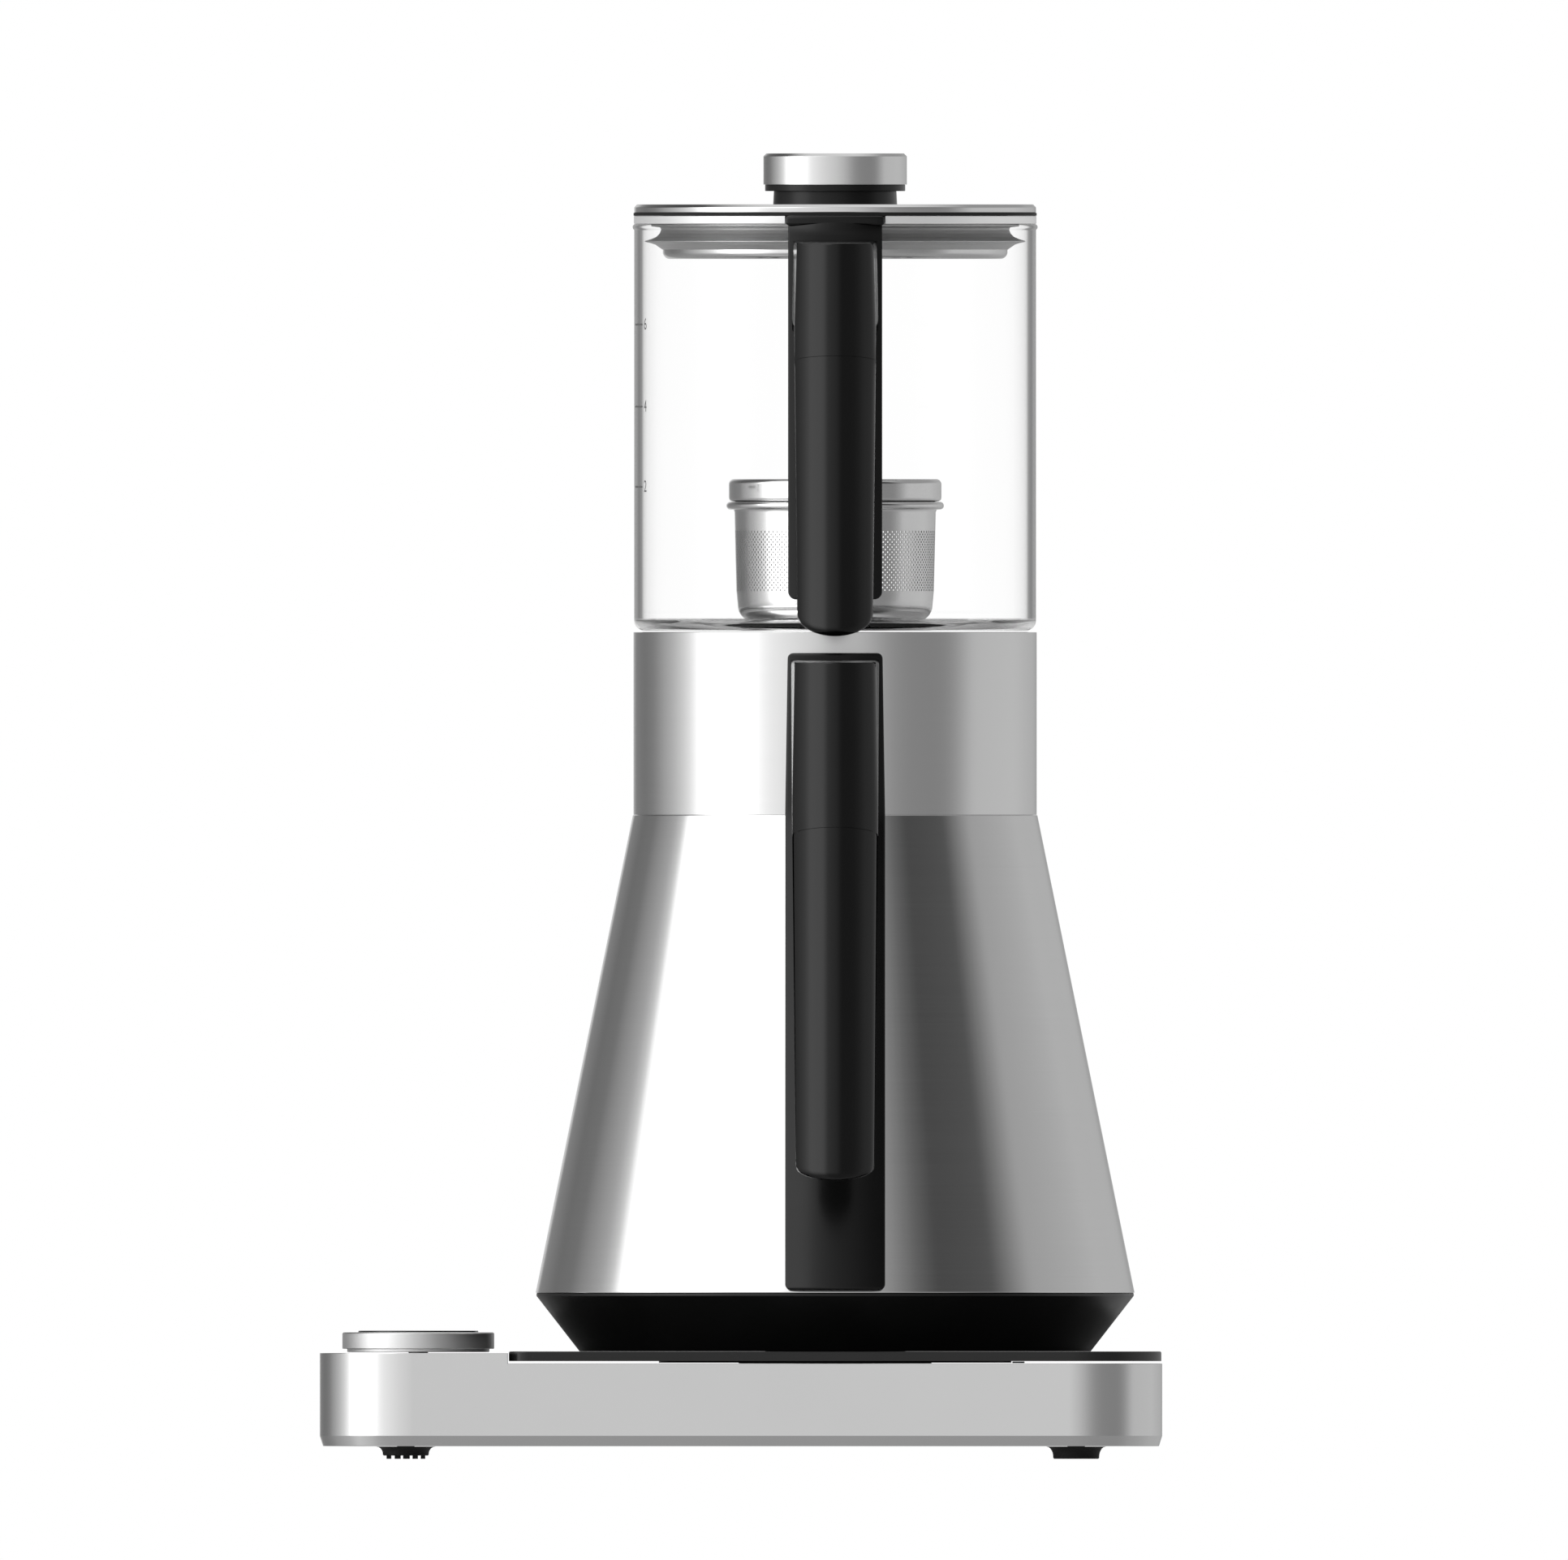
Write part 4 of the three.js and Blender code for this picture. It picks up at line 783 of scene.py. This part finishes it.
def strip_mesh(bottom, top, half_width, wall_radius, near, far, head_corner, edge=0.7 * MM, crown=0.0,
               foot_corner=None):
    """A strip bent round the axis: half_width, wall_radius and far are functions of the height."""
    foot_corner = foot_corner or head_corner
    rows, columns = 60, 14
    shares = [1 - math.cos(math.pi / 2 * step / 10) for step in range(11)]
    straight = top - bottom - head_corner - foot_corner
    heights = [bottom + foot_corner * share for share in shares]
    heights += [bottom + foot_corner + straight * row / rows for row in range(1, rows)]
    heights += [top - head_corner * share for share in shares[::-1]]
    loops = []
    for height in heights:
        corner = foot_corner if height - bottom < top - height else head_corner
        depth_in = min(height - bottom, top - height)
        narrowing = corner - math.sqrt(max(corner ** 2 - max(corner - depth_in, 0) ** 2, 0))
        half = half_width(height) - narrowing
        outer = far(height) - edge * (1 - math.sqrt(max(1 - (1 - min(depth_in / edge, 1)) ** 2, 0)))
        side = [(inset, outer - edge + rise) for inset, rise in quarter(edge)]
        across = [step / columns for step in range(1, columns)]
        outline = [(-half, near)] + [(-half + inset, out) for inset, out in side]
        outline += [(-half + edge + (2 * half - 2 * edge) * share, outer) for share in across]
        outline += [(half - inset, out) for inset, out in side[::-1]] + [(half, near)]
        outline += [(half - 2 * half * share, near) for share in across]
        radius, full_half = wall_radius(height), half_width(height)
        loop = []
        for x, out in outline:
            out -= crown * (x / full_half) ** 2 * (out - near) / (outer - near)
            depth = math.sqrt((radius + out) ** 2 - x * x)
            loop.append((kettle_axis.x + x, kettle_axis.y - depth, height))
        loops.append(loop)
    return lofted(loops)


STRIP_NEAR, STRIP_FAR = 0.3 * MM, 3.1 * MM      # the strips' two faces, from the wall


def kettle_strip():
    """The strip on the kettle, whose top is kept 0.9 mm lower than the solid's, as photographed."""
    low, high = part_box("kettle_strip")
    top_half, foot_half = 14.6 * MM, 15.4 * MM

    def half_width(height):
        return top_half + (foot_half - top_half) * min(1, (high.z - height) / (high.z - collar_low.z))

    def wall(height):
        return collar_radius + 0.2 * MM + cone_slope * max(0, collar_low.z - height)

    return strip_mesh(low.z, high.z - 0.9 * MM, half_width, wall, STRIP_NEAR, lambda height: STRIP_FAR,
                      1.7 * MM, crown=1.7 * MM)


def pot_strip():
    low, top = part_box("pot_bracket")[0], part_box("pot_band")[1].z - 1.0 * MM
    slope, lip = 2.4 * MM, 1.5 * MM

    def reach(height):
        return STRIP_FAR - (STRIP_FAR - lip) * max(0, min(1, 1 - (top - height) / slope))

    return strip_mesh(low.z, top, lambda height: 14.5 * MM, lambda height: RIM_RADIUS, STRIP_NEAR, reach,
                      1.2 * MM, 0.5 * MM, crown=1.6 * MM, foot_corner=2.5 * MM)


dress("kettle_strip", kettle_strip(), black_plastic)


# Handles: a D-shaped grip that hangs from a deep arm, seen with its front towards the camera

SEAM = 0.12 * MM
HEEL = 3 * MM          # rounding of the grip's lower end, seen from the side
GRIP_DEPTH, COVER_DEPTH = 16 * MM, 9 * MM
FRONT_DROP, HEAD_TAPER, FLARE_LENGTH = 0.8 * MM, 0.95 * MM, 8 * MM
EDGE_ROUNDING, FINE_ROUNDING = 4.2 * MM, 1.3 * MM
RIDGE_RADIUS, RIDGE_HALF = 6.6 * MM, 2.9 * MM     # the front is a soft keel
FLANK_RADIUS = 26 * MM
FOLLOW = 0.3           # share of the front's roundness that the seam behind the cover keeps


def front_sag(x):
    """How far the handle's front lies behind its ridge at a distance from the middle."""
    ridge = min(abs(x), RIDGE_HALF)
    sag = RIDGE_RADIUS - math.sqrt(RIDGE_RADIUS ** 2 - ridge ** 2)
    lean = RIDGE_HALF / RIDGE_RADIUS
    beyond = lean + (abs(x) - ridge) / FLANK_RADIUS
    return sag + FLANK_RADIUS * (math.sqrt(1 - lean ** 2) - math.sqrt(1 - beyond ** 2))


class Handle:
    """One handle's sizes, its side outline and the pieces that it splits into."""

    def __init__(self, prefix, wall, arm_height, seam_drop, armpit, widths, end_lift, seam_sag,
                 crest=0.0):
        self.prefix, self.wall, self.armpit, self.widths = prefix, wall, armpit, widths
        self.end_lift, self.seam_sag = end_lift, seam_sag
        cover_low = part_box(f"{prefix}_grip_cover")[0]
        self.outer = kettle_axis.y - cover_low.y
        self.inner = self.outer - GRIP_DEPTH
        self.split = self.outer - COVER_DEPTH
        arm_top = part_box(f"{prefix}_handle_arm")[1].z
        self.top, self.end = arm_top + crest, cover_low.z
        self.under, self.seam = arm_top - arm_height, arm_top - seam_drop

    def half_width(self, distance, height):
        top, foot, grip, end = (width / 2 for width in self.widths)
        if height < self.under:
            return grip + (end - grip) * (self.under - height) / (self.under - self.end)
        share = (height - self.under) / (self.top - self.under)
        front = grip + (top - HEAD_TAPER - grip) * share
        flare = foot + (top - foot) * share - front
        return front + flare * min(1, max(0, (self.split - distance) / FLARE_LENGTH))

    def outline(self):
        """Closed side view: distance from the axis, height, share of the front's sag, rounding, lift."""
        def point(distance, height, follow=0.0, rounding=EDGE_ROUNDING, lift=0.0):
            return Vector((distance, height, follow, rounding, lift))

        def fine(distance, height, follow=1):
            return point(distance, height, follow, FINE_ROUNDING)

        inner, outer, end, under, lift = self.inner, self.outer, self.end, self.under, self.end_lift
        root, front_top, corner = self.wall - 2 * MM, self.top - FRONT_DROP, 0.5 * MM
        armpit = bend(point(inner - self.armpit, under), point(inner, under),
                      point(inner, under - self.armpit), 10)
        heel_in = bend(point(inner, end + HEEL, 0, 2.4 * MM, lift * 0.8), point(inner, end, 0, 2 * MM, lift),
                       point(inner + HEEL, end, 0, 1.6 * MM, lift), 8)
        heel_out = bend(point(outer - HEEL, end, 0.7, 1.6 * MM, lift), point(outer, end, 1, 1.4 * MM, lift),
                        point(outer, end + HEEL, 1, 1.2 * MM, lift * 0.8), 8)
        brow = bend(fine(outer, front_top - corner), fine(outer, front_top),
                    fine(outer - corner, front_top), 4)
        points, head = [point(root, under)], [fine(root, self.top, 0)]
        for steps, run in ((5, armpit), (14, heel_in), (4, heel_out), (18, brow), (12, head)):
            points += [points[-1].lerp(run[0], step / steps) for step in range(1, steps)] + run
        return points

    def kept(self, points, side, follow=None, lift=None):
        """The outline cut down to where side(point) is positive."""
        made = []
        for here, onward in zip(points, points[1:] + points[:1]):
            near, far = side(here), side(onward)
            if near > 0:
                made.append(here)
            if near * far < 0:
                distance, height, own_follow, _, own_lift = here.lerp(onward, near / (near - far))
                made.append(Vector((distance, height, own_follow if follow is None else follow, 0.3 * MM,
                                    own_lift if lift is None else lift)))
        return made

    def swept(self, points):
        """The piece whose side view is the outline, rounded across its width."""
        turned_left = sum(a.x * b.y - b.x * a.y for a, b in zip(points, points[1:] + points[:1])) > 0
        inward = []
        for before, after in zip(points[-1:] + points[:-1], points[1:] + points[:1]):
            along = Vector((after[0] - before[0], after[1] - before[1])).normalized()
            inward.append(Vector((-along.y, along.x)) if turned_left else Vector((along.y, -along.x)))
        edge_steps = (0, 0.02, 0.06, 0.13, 0.23, 0.36, 0.52, 0.74, 1.0)
        shares = [-1 + step * EDGE_ROUNDING / (self.widths[0] / 2) for step in edge_steps]
        middle_steps = 20
        shares += [shares[-1] * (1 - 2 * step / middle_steps) for step in range(1, middle_steps)]
        shares += [-share for share in shares[:len(edge_steps)][::-1]]
        loops = []
        for share in shares:
            loop = []
            for (distance, height, follow, rounding, lift), (in_distance, in_height) in zip(points, inward):
                half = self.half_width(distance, height)
                x = share * half
                short = max(0, rounding - (1 - abs(share)) * half)
                inset = rounding - math.sqrt(max(0, rounding ** 2 - short ** 2))
                distance += in_distance * inset - follow * front_sag(x)
                height += in_height * inset + lift * (1 - math.sqrt(max(0, 1 - share * share)))
                root = math.sqrt((self.wall + CLEAR) ** 2 - x * x)
                loop.append((kettle_axis.x + x, kettle_axis.y - max(distance, root), height))
            loops.append(loop)
        return lofted(loops)

    def dress(self, material):
        whole = self.outline()
        behind = self.kept(whole, lambda point: self.split - SEAM - point[0], FOLLOW)
        front = self.kept(whole, lambda point: point[0] - self.split, FOLLOW)
        upper = self.kept(front, lambda point: point[1] - self.seam, None, -self.seam_sag)
        lower = self.kept(front, lambda point: self.seam - SEAM - point[1], None, -self.seam_sag)
        for title, outline in (("handle_arm", behind), ("handle_cap", upper), ("grip_cover", lower)):
            dress(f"{self.prefix}_{title}", self.swept(outline), material, crease_degrees=50)


Handle("kettle", 65.4 * MM, 43.2 * MM, 51.5 * MM, 14 * MM,
       (27 * MM, 28.2 * MM, 26.6 * MM, 24.25 * MM), 4.5 * MM, 2.5 * MM).dress(grip_plastic)
Handle("pot", 65.5 * MM, 27.6 * MM, 34.8 * MM, 12 * MM,
       (25.6 * MM, 26.5 * MM, 25.2 * MM, 23.3 * MM), 6.7 * MM, 1.6 * MM, 0.6 * MM).dress(grip_plastic)


# Pot: glass, band, bracket

glass_low, glass_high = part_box("pot_glass")
RIM_RADIUS = size("pot_glass").x / 2
GLASS_OUTER = RIM_RADIUS - 0.5 * MM
GLASS_INNER = GLASS_OUTER - 3 * MM
HEEL_RADIUS, BOWL_RADIUS, BEAD = 3.2 * MM, 4.5 * MM, 1.0 * MM
BEAK_FOOT, BEAK_REACH = 348.4 * MM, glass_high.y - kettle_axis.y - RIM_RADIUS


def glass_vessel():
    """The blown glass: a rounded heel, a beaded rim and a beak that is drawn out of the wall."""
    foot, top = glass_low.z, glass_high.z
    floor_top, rows = foot + 2.6 * MM, 44
    wall_bottom, wall_top = foot + HEEL_RADIUS, top - 2 * MM
    rise = wall_top - wall_bottom
    points = [(0, foot + 0.6 * MM), (40 * MM, foot + 0.5 * MM), (52 * MM, foot)]
    points += arc(GLASS_OUTER - HEEL_RADIUS, wall_bottom, HEEL_RADIUS, -90, 0, 10)
    points += [(GLASS_OUTER, wall_bottom + rise * row / rows) for row in range(1, rows + 1)]
    points += arc(RIM_RADIUS - BEAD, top - BEAD, BEAD, -60, 90, 5)
    points += [(GLASS_INNER + 0.4 * MM, top - 0.1 * MM), (GLASS_INNER, top - 0.7 * MM)]
    points += [(GLASS_INNER, wall_top - (rise - 2 * MM) * row / rows) for row in range(rows + 1)]
    points += arc(GLASS_INNER - BOWL_RADIUS, floor_top + BOWL_RADIUS, BOWL_RADIUS, 0, -90, 8)[1:]
    points += [(40 * MM, floor_top), (20 * MM, floor_top + 0.1 * MM), (0, floor_top + 0.15 * MM)]
    vessel = spun(points, False, kettle_axis, 240)
    for vertex in vessel.verts:
        x, y = vertex.co.x - kettle_axis.x, vertex.co.y - kettle_axis.y
        share = (vertex.co.z - BEAK_FOOT) / (top - BEAK_FOOT)
        if y < 40 * MM or share < 0 or math.hypot(x, y) < 50 * MM:
            continue
        spread = abs(x) / ((3 + 11 * share) * MM)
        if spread < 1:
            vertex.co.y += BEAK_REACH * share ** 1.5 * math.cos(spread * math.pi / 2) ** 1.3
    return vessel


dress("pot_glass", glass_vessel(), clear_glass, crease_degrees=60)

band_low, band_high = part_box("pot_band")


def band_mesh():
    """The steel ring over the rim, open in front for the bracket's hook."""
    outer, bottom, top = size("pot_band").x / 2, band_low.z, band_high.z
    inner = outer - 3 * MM
    outline = eased([(inner, bottom), (outer, bottom), (outer, top), (inner, top)], True, 0.3 * MM)
    half_gap, tall = 15.5 * MM, 1.0
    gap = box_mesh((kettle_axis.x - half_gap, 2 * band_low.y, 0),
                   (kettle_axis.x + half_gap, kettle_axis.y - 40 * MM, tall))
    return carved(spun(outline, True, kettle_axis, 240), [gap])


dress("pot_band", seated(band_mesh()), band_steel)


def bracket_with_hook():
    """The strip on the glass and the block that fills the band's gap."""
    bottom, top = band_low.z - 0.6 * MM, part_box("pot_bracket")[1].z
    root_radius, near, face_radius = 59 * MM, 0.2 * MM, 64.6 * MM
    block = strip_mesh(bottom, top, lambda height: 15.2 * MM, lambda height: root_radius, near,
                       lambda height: face_radius - root_radius, 1.0 * MM, 0.8 * MM)
    return carved(pot_strip(), [], [block])


dress("pot_bracket", bracket_with_hook(), black_plastic)


# Lid, knob and infuser

def seal_mesh():
    """The silicone ring: a flange at its top, and one thin wing that sweeps out to the glass."""
    low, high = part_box("lid_seal")
    root, body, tip = 53.15, 53.5, size("lid_seal").x / 2 / MM
    bottom, top, wing = low.z / MM + 1.8, high.z / MM, 375.0
    flange = 56.7
    side = [(root, bottom), (body, bottom + 0.3)]
    side += [(body + out, wing + up) for out, up in ((0.6, -1.9), (1.9, -1.0), (3.4, -0.5))]
    side += [(tip, wing - 0.15), (tip, wing + 0.15)]
    side += [(body + out, wing + up)
             for out, up in ((3.2, 0.7), (1.6, 1.4), (0.6, 2.4), (0.1, 3.6), (0.4, 4.3))]
    side += [(flange, wing + 4.6), (flange, top), (root, top)]
    outline = eased([(out * MM, up * MM) for out, up in side], True, 0.4 * MM)
    return spun(outline, True, kettle_axis, 200)


lathe("lid_disc", polished_steel, 0.35, 200, drop=0.12)
lathe("lid_gasket", rubber, 0.1, 200, drop=0.19)
lathe("lid_plug", polished_steel, 2.2, 200)
dress("lid_seal", seal_mesh(), silicone)
lathe("knob_neck", black_plastic, 0.05, drop=0.12)
lathe("knob_collar", black_plastic, 0.25, drop=0.12)
lathe("knob_cap", knob_metal, 0.12, drop=0.12)
lathe("infuser_cap", polished_steel, 1.6)

BAND_BOTTOM, BAND_TOP = 267.2 * MM, 285.9 * MM     # the perforated part of the basket's wall
BASKET_SHOULDER, BASKET_ROLL = 291.6 * MM, 292.4 * MM
BASKET_FOOT, BASKET_CORNER = 25 * MM, 5 * MM
COLUMNS, ROWS = 118, 24
SHEET = 0.4 * MM
HOLE, HOLE_PITCH, ROW_PITCH = 0.35, 1.62, 0.78      # in mm
WELD = 0.02 * MM


def basket_radius(height):
    """The tapered wall's outer radius."""
    return 30.3 * MM + (height - 262.9 * MM) / 41


def perforation_tile():
    """One step of the sheet, 1 by 1 and 1 thick, with a six-sided hole: the tree scales and bends it."""
    border = [(0, 0.5), (0.5, 0.5), (0.5, -0.5), (0, -0.5), (-0.5, -0.5), (-0.5, 0.5)]
    hole = [(HOLE / HOLE_PITCH * math.sin(turn), HOLE / ROW_PITCH * math.cos(turn))
            for turn in [math.tau * corner / 6 for corner in range(6)]]
    mesh = bmesh.new()
    rows = [[mesh.verts.new((x, y, depth)) for x, y in ring]
            for ring, depth in ((border, 0), (hole, 0), (hole, -1), (border, -1))]
    for near, far in zip(rows, rows[1:]):
        for index in range(6):
            onward = (index + 1) % 6
            mesh.faces.new((near[index], near[onward], far[onward], far[index]))
    return mesh


def perforated_band():
    """The tile set out in rows, every other row half a step on, and bent round the basket."""
    tile = in_scene("perforation_tile", plain_mesh(perforation_tile(), "tile"))
    foot = basket_radius(BAND_BOTTOM)
    tree = Pattern("perforation", Tile=tile, Columns=COLUMNS, Rows=ROWS, Foot=foot,
                   Widening=(basket_radius(BAND_TOP) - foot) / ROWS, Bottom=BAND_BOTTOM,
                   Step=(BAND_TOP - BAND_BOTTOM) / ROWS, Sheet=SHEET)
    grid = tree.node("GeometryNodeMeshGrid", {
        "Size X": tree.Columns - 1.0, "Size Y": tree.Rows - 1.0, "Vertices X": tree.Columns,
        "Vertices Y": tree.Rows})
    x, y, depth = tree.axes(tree.node("GeometryNodeInputPosition"))
    up = y + tree.Rows / 2.0
    every_other = up.math("MODULO", up.math("FLOOR", up), 2.0)
    shifted = tree.node("GeometryNodeSetPosition", {
        "Geometry": grid, "Offset": tree.vector(every_other * 0.5, 0.0, 0.0)})
    tile_shape = tree.node("GeometryNodeObjectInfo", {"Object": tree.Tile}, "Geometry")
    copies = tree.node("GeometryNodeInstanceOnPoints", {"Points": shifted, "Instance": tile_shape})
    flat = tree.node("GeometryNodeRealizeInstances", {0: copies})
    turn = x * math.tau / tree.Columns
    radius = tree.Foot + tree.Widening * up + tree.Sheet * depth
    bent = tree.vector(turn.math("COSINE", turn) * radius + kettle_axis.x,
                       turn.math("SINE", turn) * radius + kettle_axis.y, tree.Bottom + up * tree.Step)
    wrapped = tree.node("GeometryNodeSetPosition", {"Geometry": flat, "Position": bent})
    merged = tree.node("GeometryNodeMergeByDistance", {"Geometry": wrapped, "Distance": WELD})
    made = tree.baked(merged, bpy.data.meshes.new("band"), polished_steel)
    bpy.data.objects.remove(tile)
    return made


def infuser_basket():
    """The drawn cup with its rolled rim, and the perforated band in its wall."""
    low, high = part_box("infuser_basket")
    corner_height, roll = low.z + BASKET_CORNER, (high.z - BASKET_ROLL) / 2
    wall = (BAND_BOTTOM, BAND_TOP, BASKET_SHOULDER)
    points = [(0, low.z)] + arc(BASKET_FOOT, corner_height, BASKET_CORNER, -90, 0, 8)
    points += [(basket_radius(height), height) for height in wall]
    points += [(basket_radius(BASKET_ROLL) + 0.3 * MM, BASKET_ROLL)]
    points += arc(size("infuser_basket").x / 2 - roll, high.z - roll, roll, -90, 90, 8)
    points += [(30.2 * MM, high.z), (30.2 * MM, BASKET_ROLL)]
    points += [(basket_radius(height) - SHEET, height) for height in (BAND_TOP, BAND_BOTTOM)]
    points += arc(BASKET_FOOT, corner_height, BASKET_CORNER - SHEET, 0, -90, 8) + [(0, low.z + SHEET)]
    cup = spun(points, False, kettle_axis, 2 * COLUMNS)
    span = []
    for face in cup.faces:
        heights = [vertex.co.z for vertex in face.verts]
        if abs(min(heights) - BAND_BOTTOM) < TINY and abs(max(heights) - BAND_TOP) < TINY:
            span.append(face)
    bmesh.ops.delete(cup, geom=span, context="FACES")
    cup.from_mesh(perforated_band())
    bmesh.ops.remove_doubles(cup, verts=cup.verts, dist=WELD)
    return cup


dress("infuser_basket", infuser_basket(), polished_steel, crease_degrees=40)


LEVELS = (("6", 349.4 * MM), ("4", 324.1 * MM), ("2", 299.4 * MM))
INK = 0.01 * MM


def level_marks():
    """The printed scale on the glass's left side: a stroke and a plain number at each level."""
    radius = GLASS_OUTER + INK
    marks = bmesh.new()
    for number, height in LEVELS:
        text = bpy.data.curves.new("number", "FONT")
        text.body, text.size, text.extrude, text.resolution_u = number, 5.2 * MM, INK, 4
        text.align_x, text.align_y = "LEFT", "CENTER"
        flat = taken_from(in_scene("number", text))
        flat.transform(Matrix.Translation((19.5 * MM, 0, 0)))
        stroke = box_mesh((7 * MM, -0.3 * MM, -INK), (18 * MM, 0.3 * MM, INK))
        bmesh.ops.subdivide_edges(stroke, edges=stroke.edges, cuts=6, use_grid_fill=True)
        mark = bmesh.new()
        mark.from_mesh(flat)
        mark.from_mesh(plain_mesh(stroke, "stroke"))
        for vertex in mark.verts:
            turn, out = vertex.co.x / radius, radius + 0.03 * MM + vertex.co.z
            x, y = out * math.cos(turn), out * math.sin(turn)
            vertex.co = (kettle_axis.x - x, kettle_axis.y - y, height + vertex.co.y)
        marks.from_mesh(plain_mesh(mark, "mark"))
    bmesh.ops.remove_doubles(marks, verts=marks.verts, dist=0.0001 * MM)
    return marks


added("level_marks", level_marks(), mark_print, "pot_glass")


# Studio

FRAME_WIDTH = 0.483
CAMERA_DISTANCE = 3.0
CAMERA_X, CAMERA_Z = 0.01325, 0.2091

camera_data = bpy.data.cameras.new("camera")
camera_data.type = "ORTHO"      # the photograph shows no perspective
camera_data.ortho_scale = FRAME_WIDTH
camera_data.clip_end = 60
camera = in_scene("camera", camera_data)
camera.location = (CAMERA_X, kettle_axis.y - CAMERA_DISTANCE, CAMERA_Z)
camera.rotation_euler = (math.pi / 2, 0, 0)
bpy.context.scene.camera = camera
bpy.context.scene.view_settings.view_transform = "Standard"

# Brightness of the studio as steel reflects it, by the compass angle from the camera: left is negative.
# The stops were set round by round, until the bands on the steel agreed with the photograph's.
LEVEL_TONES = ((-180, 0.6), (-169, 0.62), (-164, 0.25), (-141, 0.19), (-127, 0.24), (-116, 0.41),
               (-106, 0.55), (-97, 0.76), (-90, 1.0), (-84, 1.5), (-77, 2.3), (-58, 2.3), (-51, 1.7),
               (-44, 1.2), (-37, 1.04), (-30, 0.98), (-18, 0.86), (0, 0.745), (14, 0.6), (24, 0.44),
               (32, 0.33), (42, 0.28), (60, 0.265), (68, 0.285), (76, 0.4), (86, 0.6), (125, 0.62),
               (138, 0.56), (159, 0.48), (170, 0.36), (180, 0.6))
UPPER_TONES = ((-180, 0.6), (-169, 0.42), (-160, 0.16), (-140, 0.07), (-126, 0.09), (-115, 0.2),
               (-106, 0.34), (-99, 0.7), (-93, 2.3), (-28, 2.3), (-20, 1.2), (0, 0.6), (16, 0.4),
               (27, 0.23), (34, 0.13), (42, 0.06), (66, 0.06), (74, 0.18), (84, 0.34), (157, 0.36),
               (168, 0.42), (180, 0.6))


def light_path(finish, title):
    return Value(finish, finish.node("ShaderNodeLightPath").socket.node.outputs[title])


def seen_by_metal(finish):
    """1 where a ray comes from the camera by way of a mirror-like surface, also through glass."""
    return finish.range(light_path(finish, "Glossy Depth"), 0.0, 1.0)


def seen_direct(finish):
    """1 where the camera sees something itself or through glass."""
    direct = light_path(finish, "Is Camera Ray") + light_path(finish, "Is Transmission Ray")
    return finish.range(direct, 0.0, 1.0) * (1 - seen_by_metal(finish))


BRIGHTEST = 3.0      # tones are stored as shares of this, because a ramp's colours end at 1
OVERHEAD_TONE = 0.8


def studio():
    """A white room for the eye and matt surfaces, and a room of soft bands for steel."""
    world = bpy.data.worlds.new("studio")
    bpy.context.scene.world = world
    finish = Finish(world)
    x, y, z = finish.axes(finish.node("ShaderNodeTexCoord", None, "Generated"))
    around = finish.node("ShaderNodeMath", {0: x, 1: -1 * y}, operation="ARCTAN2") / math.tau + 0.5

    def tones(table):
        stops = [((angle + 180) / 360, tone / BRIGHTEST) for angle, tone in table]
        return finish.ramp(around, stops) * BRIGHTEST

    level_tone = tones(LEVEL_TONES)
    rising = mixed(finish, level_tone, tones(UPPER_TONES), finish.range(z, 0.1, 0.38))
    overhead = mixed(finish, rising, OVERHEAD_TONE, finish.range(z, 0.75, 0.95))
    around_metal = mixed(finish, overhead, level_tone * 0.1 + 0.3, finish.range(-1 * z, 0.1, 0.5))
    shaded = mixed(finish, 1.0, around_metal, seen_by_metal(finish))
    tone = mixed(finish, shaded, 1.0, seen_direct(finish))
    finish.shown(finish.node("ShaderNodeBackground", {"Color": tone, "Strength": 1.0}), "World")


def floor():
    """The white table: it keeps the object's shadow, and metal looks past it into the studio."""
    reach, glow = 60.0, 0.88
    mesh = bmesh.new()
    corners = ((-reach, -reach), (reach, -reach), (reach, reach), (-reach, reach))
    mesh.faces.new([mesh.verts.new((x, y, 0)) for x, y in corners])
    material = bpy.data.materials.new("table")
    finish = Finish(material)
    white = finish.node("ShaderNodeEmission", {"Color": 1.0, "Strength": 1.0})
    matt = finish.node("ShaderNodeBsdfDiffuse", {"Color": 1.0})
    clear = finish.node("ShaderNodeBsdfTransparent", {"Color": 1.0})
    for_eye = finish.node("ShaderNodeMixShader", {0: seen_direct(finish) * glow, 1: matt, 2: white})
    finish.shown(finish.node("ShaderNodeMixShader", {0: seen_by_metal(finish), 1: for_eye, 2: clear}))
    placed("table", mesh, material)


def key_lamp():
    """One large soft lamp, high on the left, unseen in the steel."""
    data = bpy.data.lights.new("key", "AREA")
    data.shape, data.size, data.size_y, data.energy = "RECTANGLE", 1.6, 1.6, 12
    lamp = in_scene("key", data)
    lamp.location = (-1.4, -1.6, 1.9)
    aim = Vector((0, 0, 0.2)) - lamp.location
    lamp.rotation_euler = aim.to_track_quat("-Z", "Y").to_euler()
    lamp.visible_glossy = False


studio()
floor()
key_lamp()


# Plain nodes that keep their own mesh take the finish of their slot

SLOT_FINISH = {
    "silver_housing": silver_housing, "black_plastic": black_plastic, "grip_plastic": grip_plastic,
    "black_plate": plate_plastic, "polished_steel": polished_steel, "brushed_steel": brushed_steel,
    "dial_metal": dial_metal, "screw_steel": screw_steel, "circuit_board": circuit_board, "rubber": rubber,
    "silicone": silicone, "glass": clear_glass,
}
for node, made in frame["nodes"].items():
    made.data.materials.clear()
    made.data.materials.append(SLOT_FINISH[node_slot[node]])

bpy.context.view_layer.update()
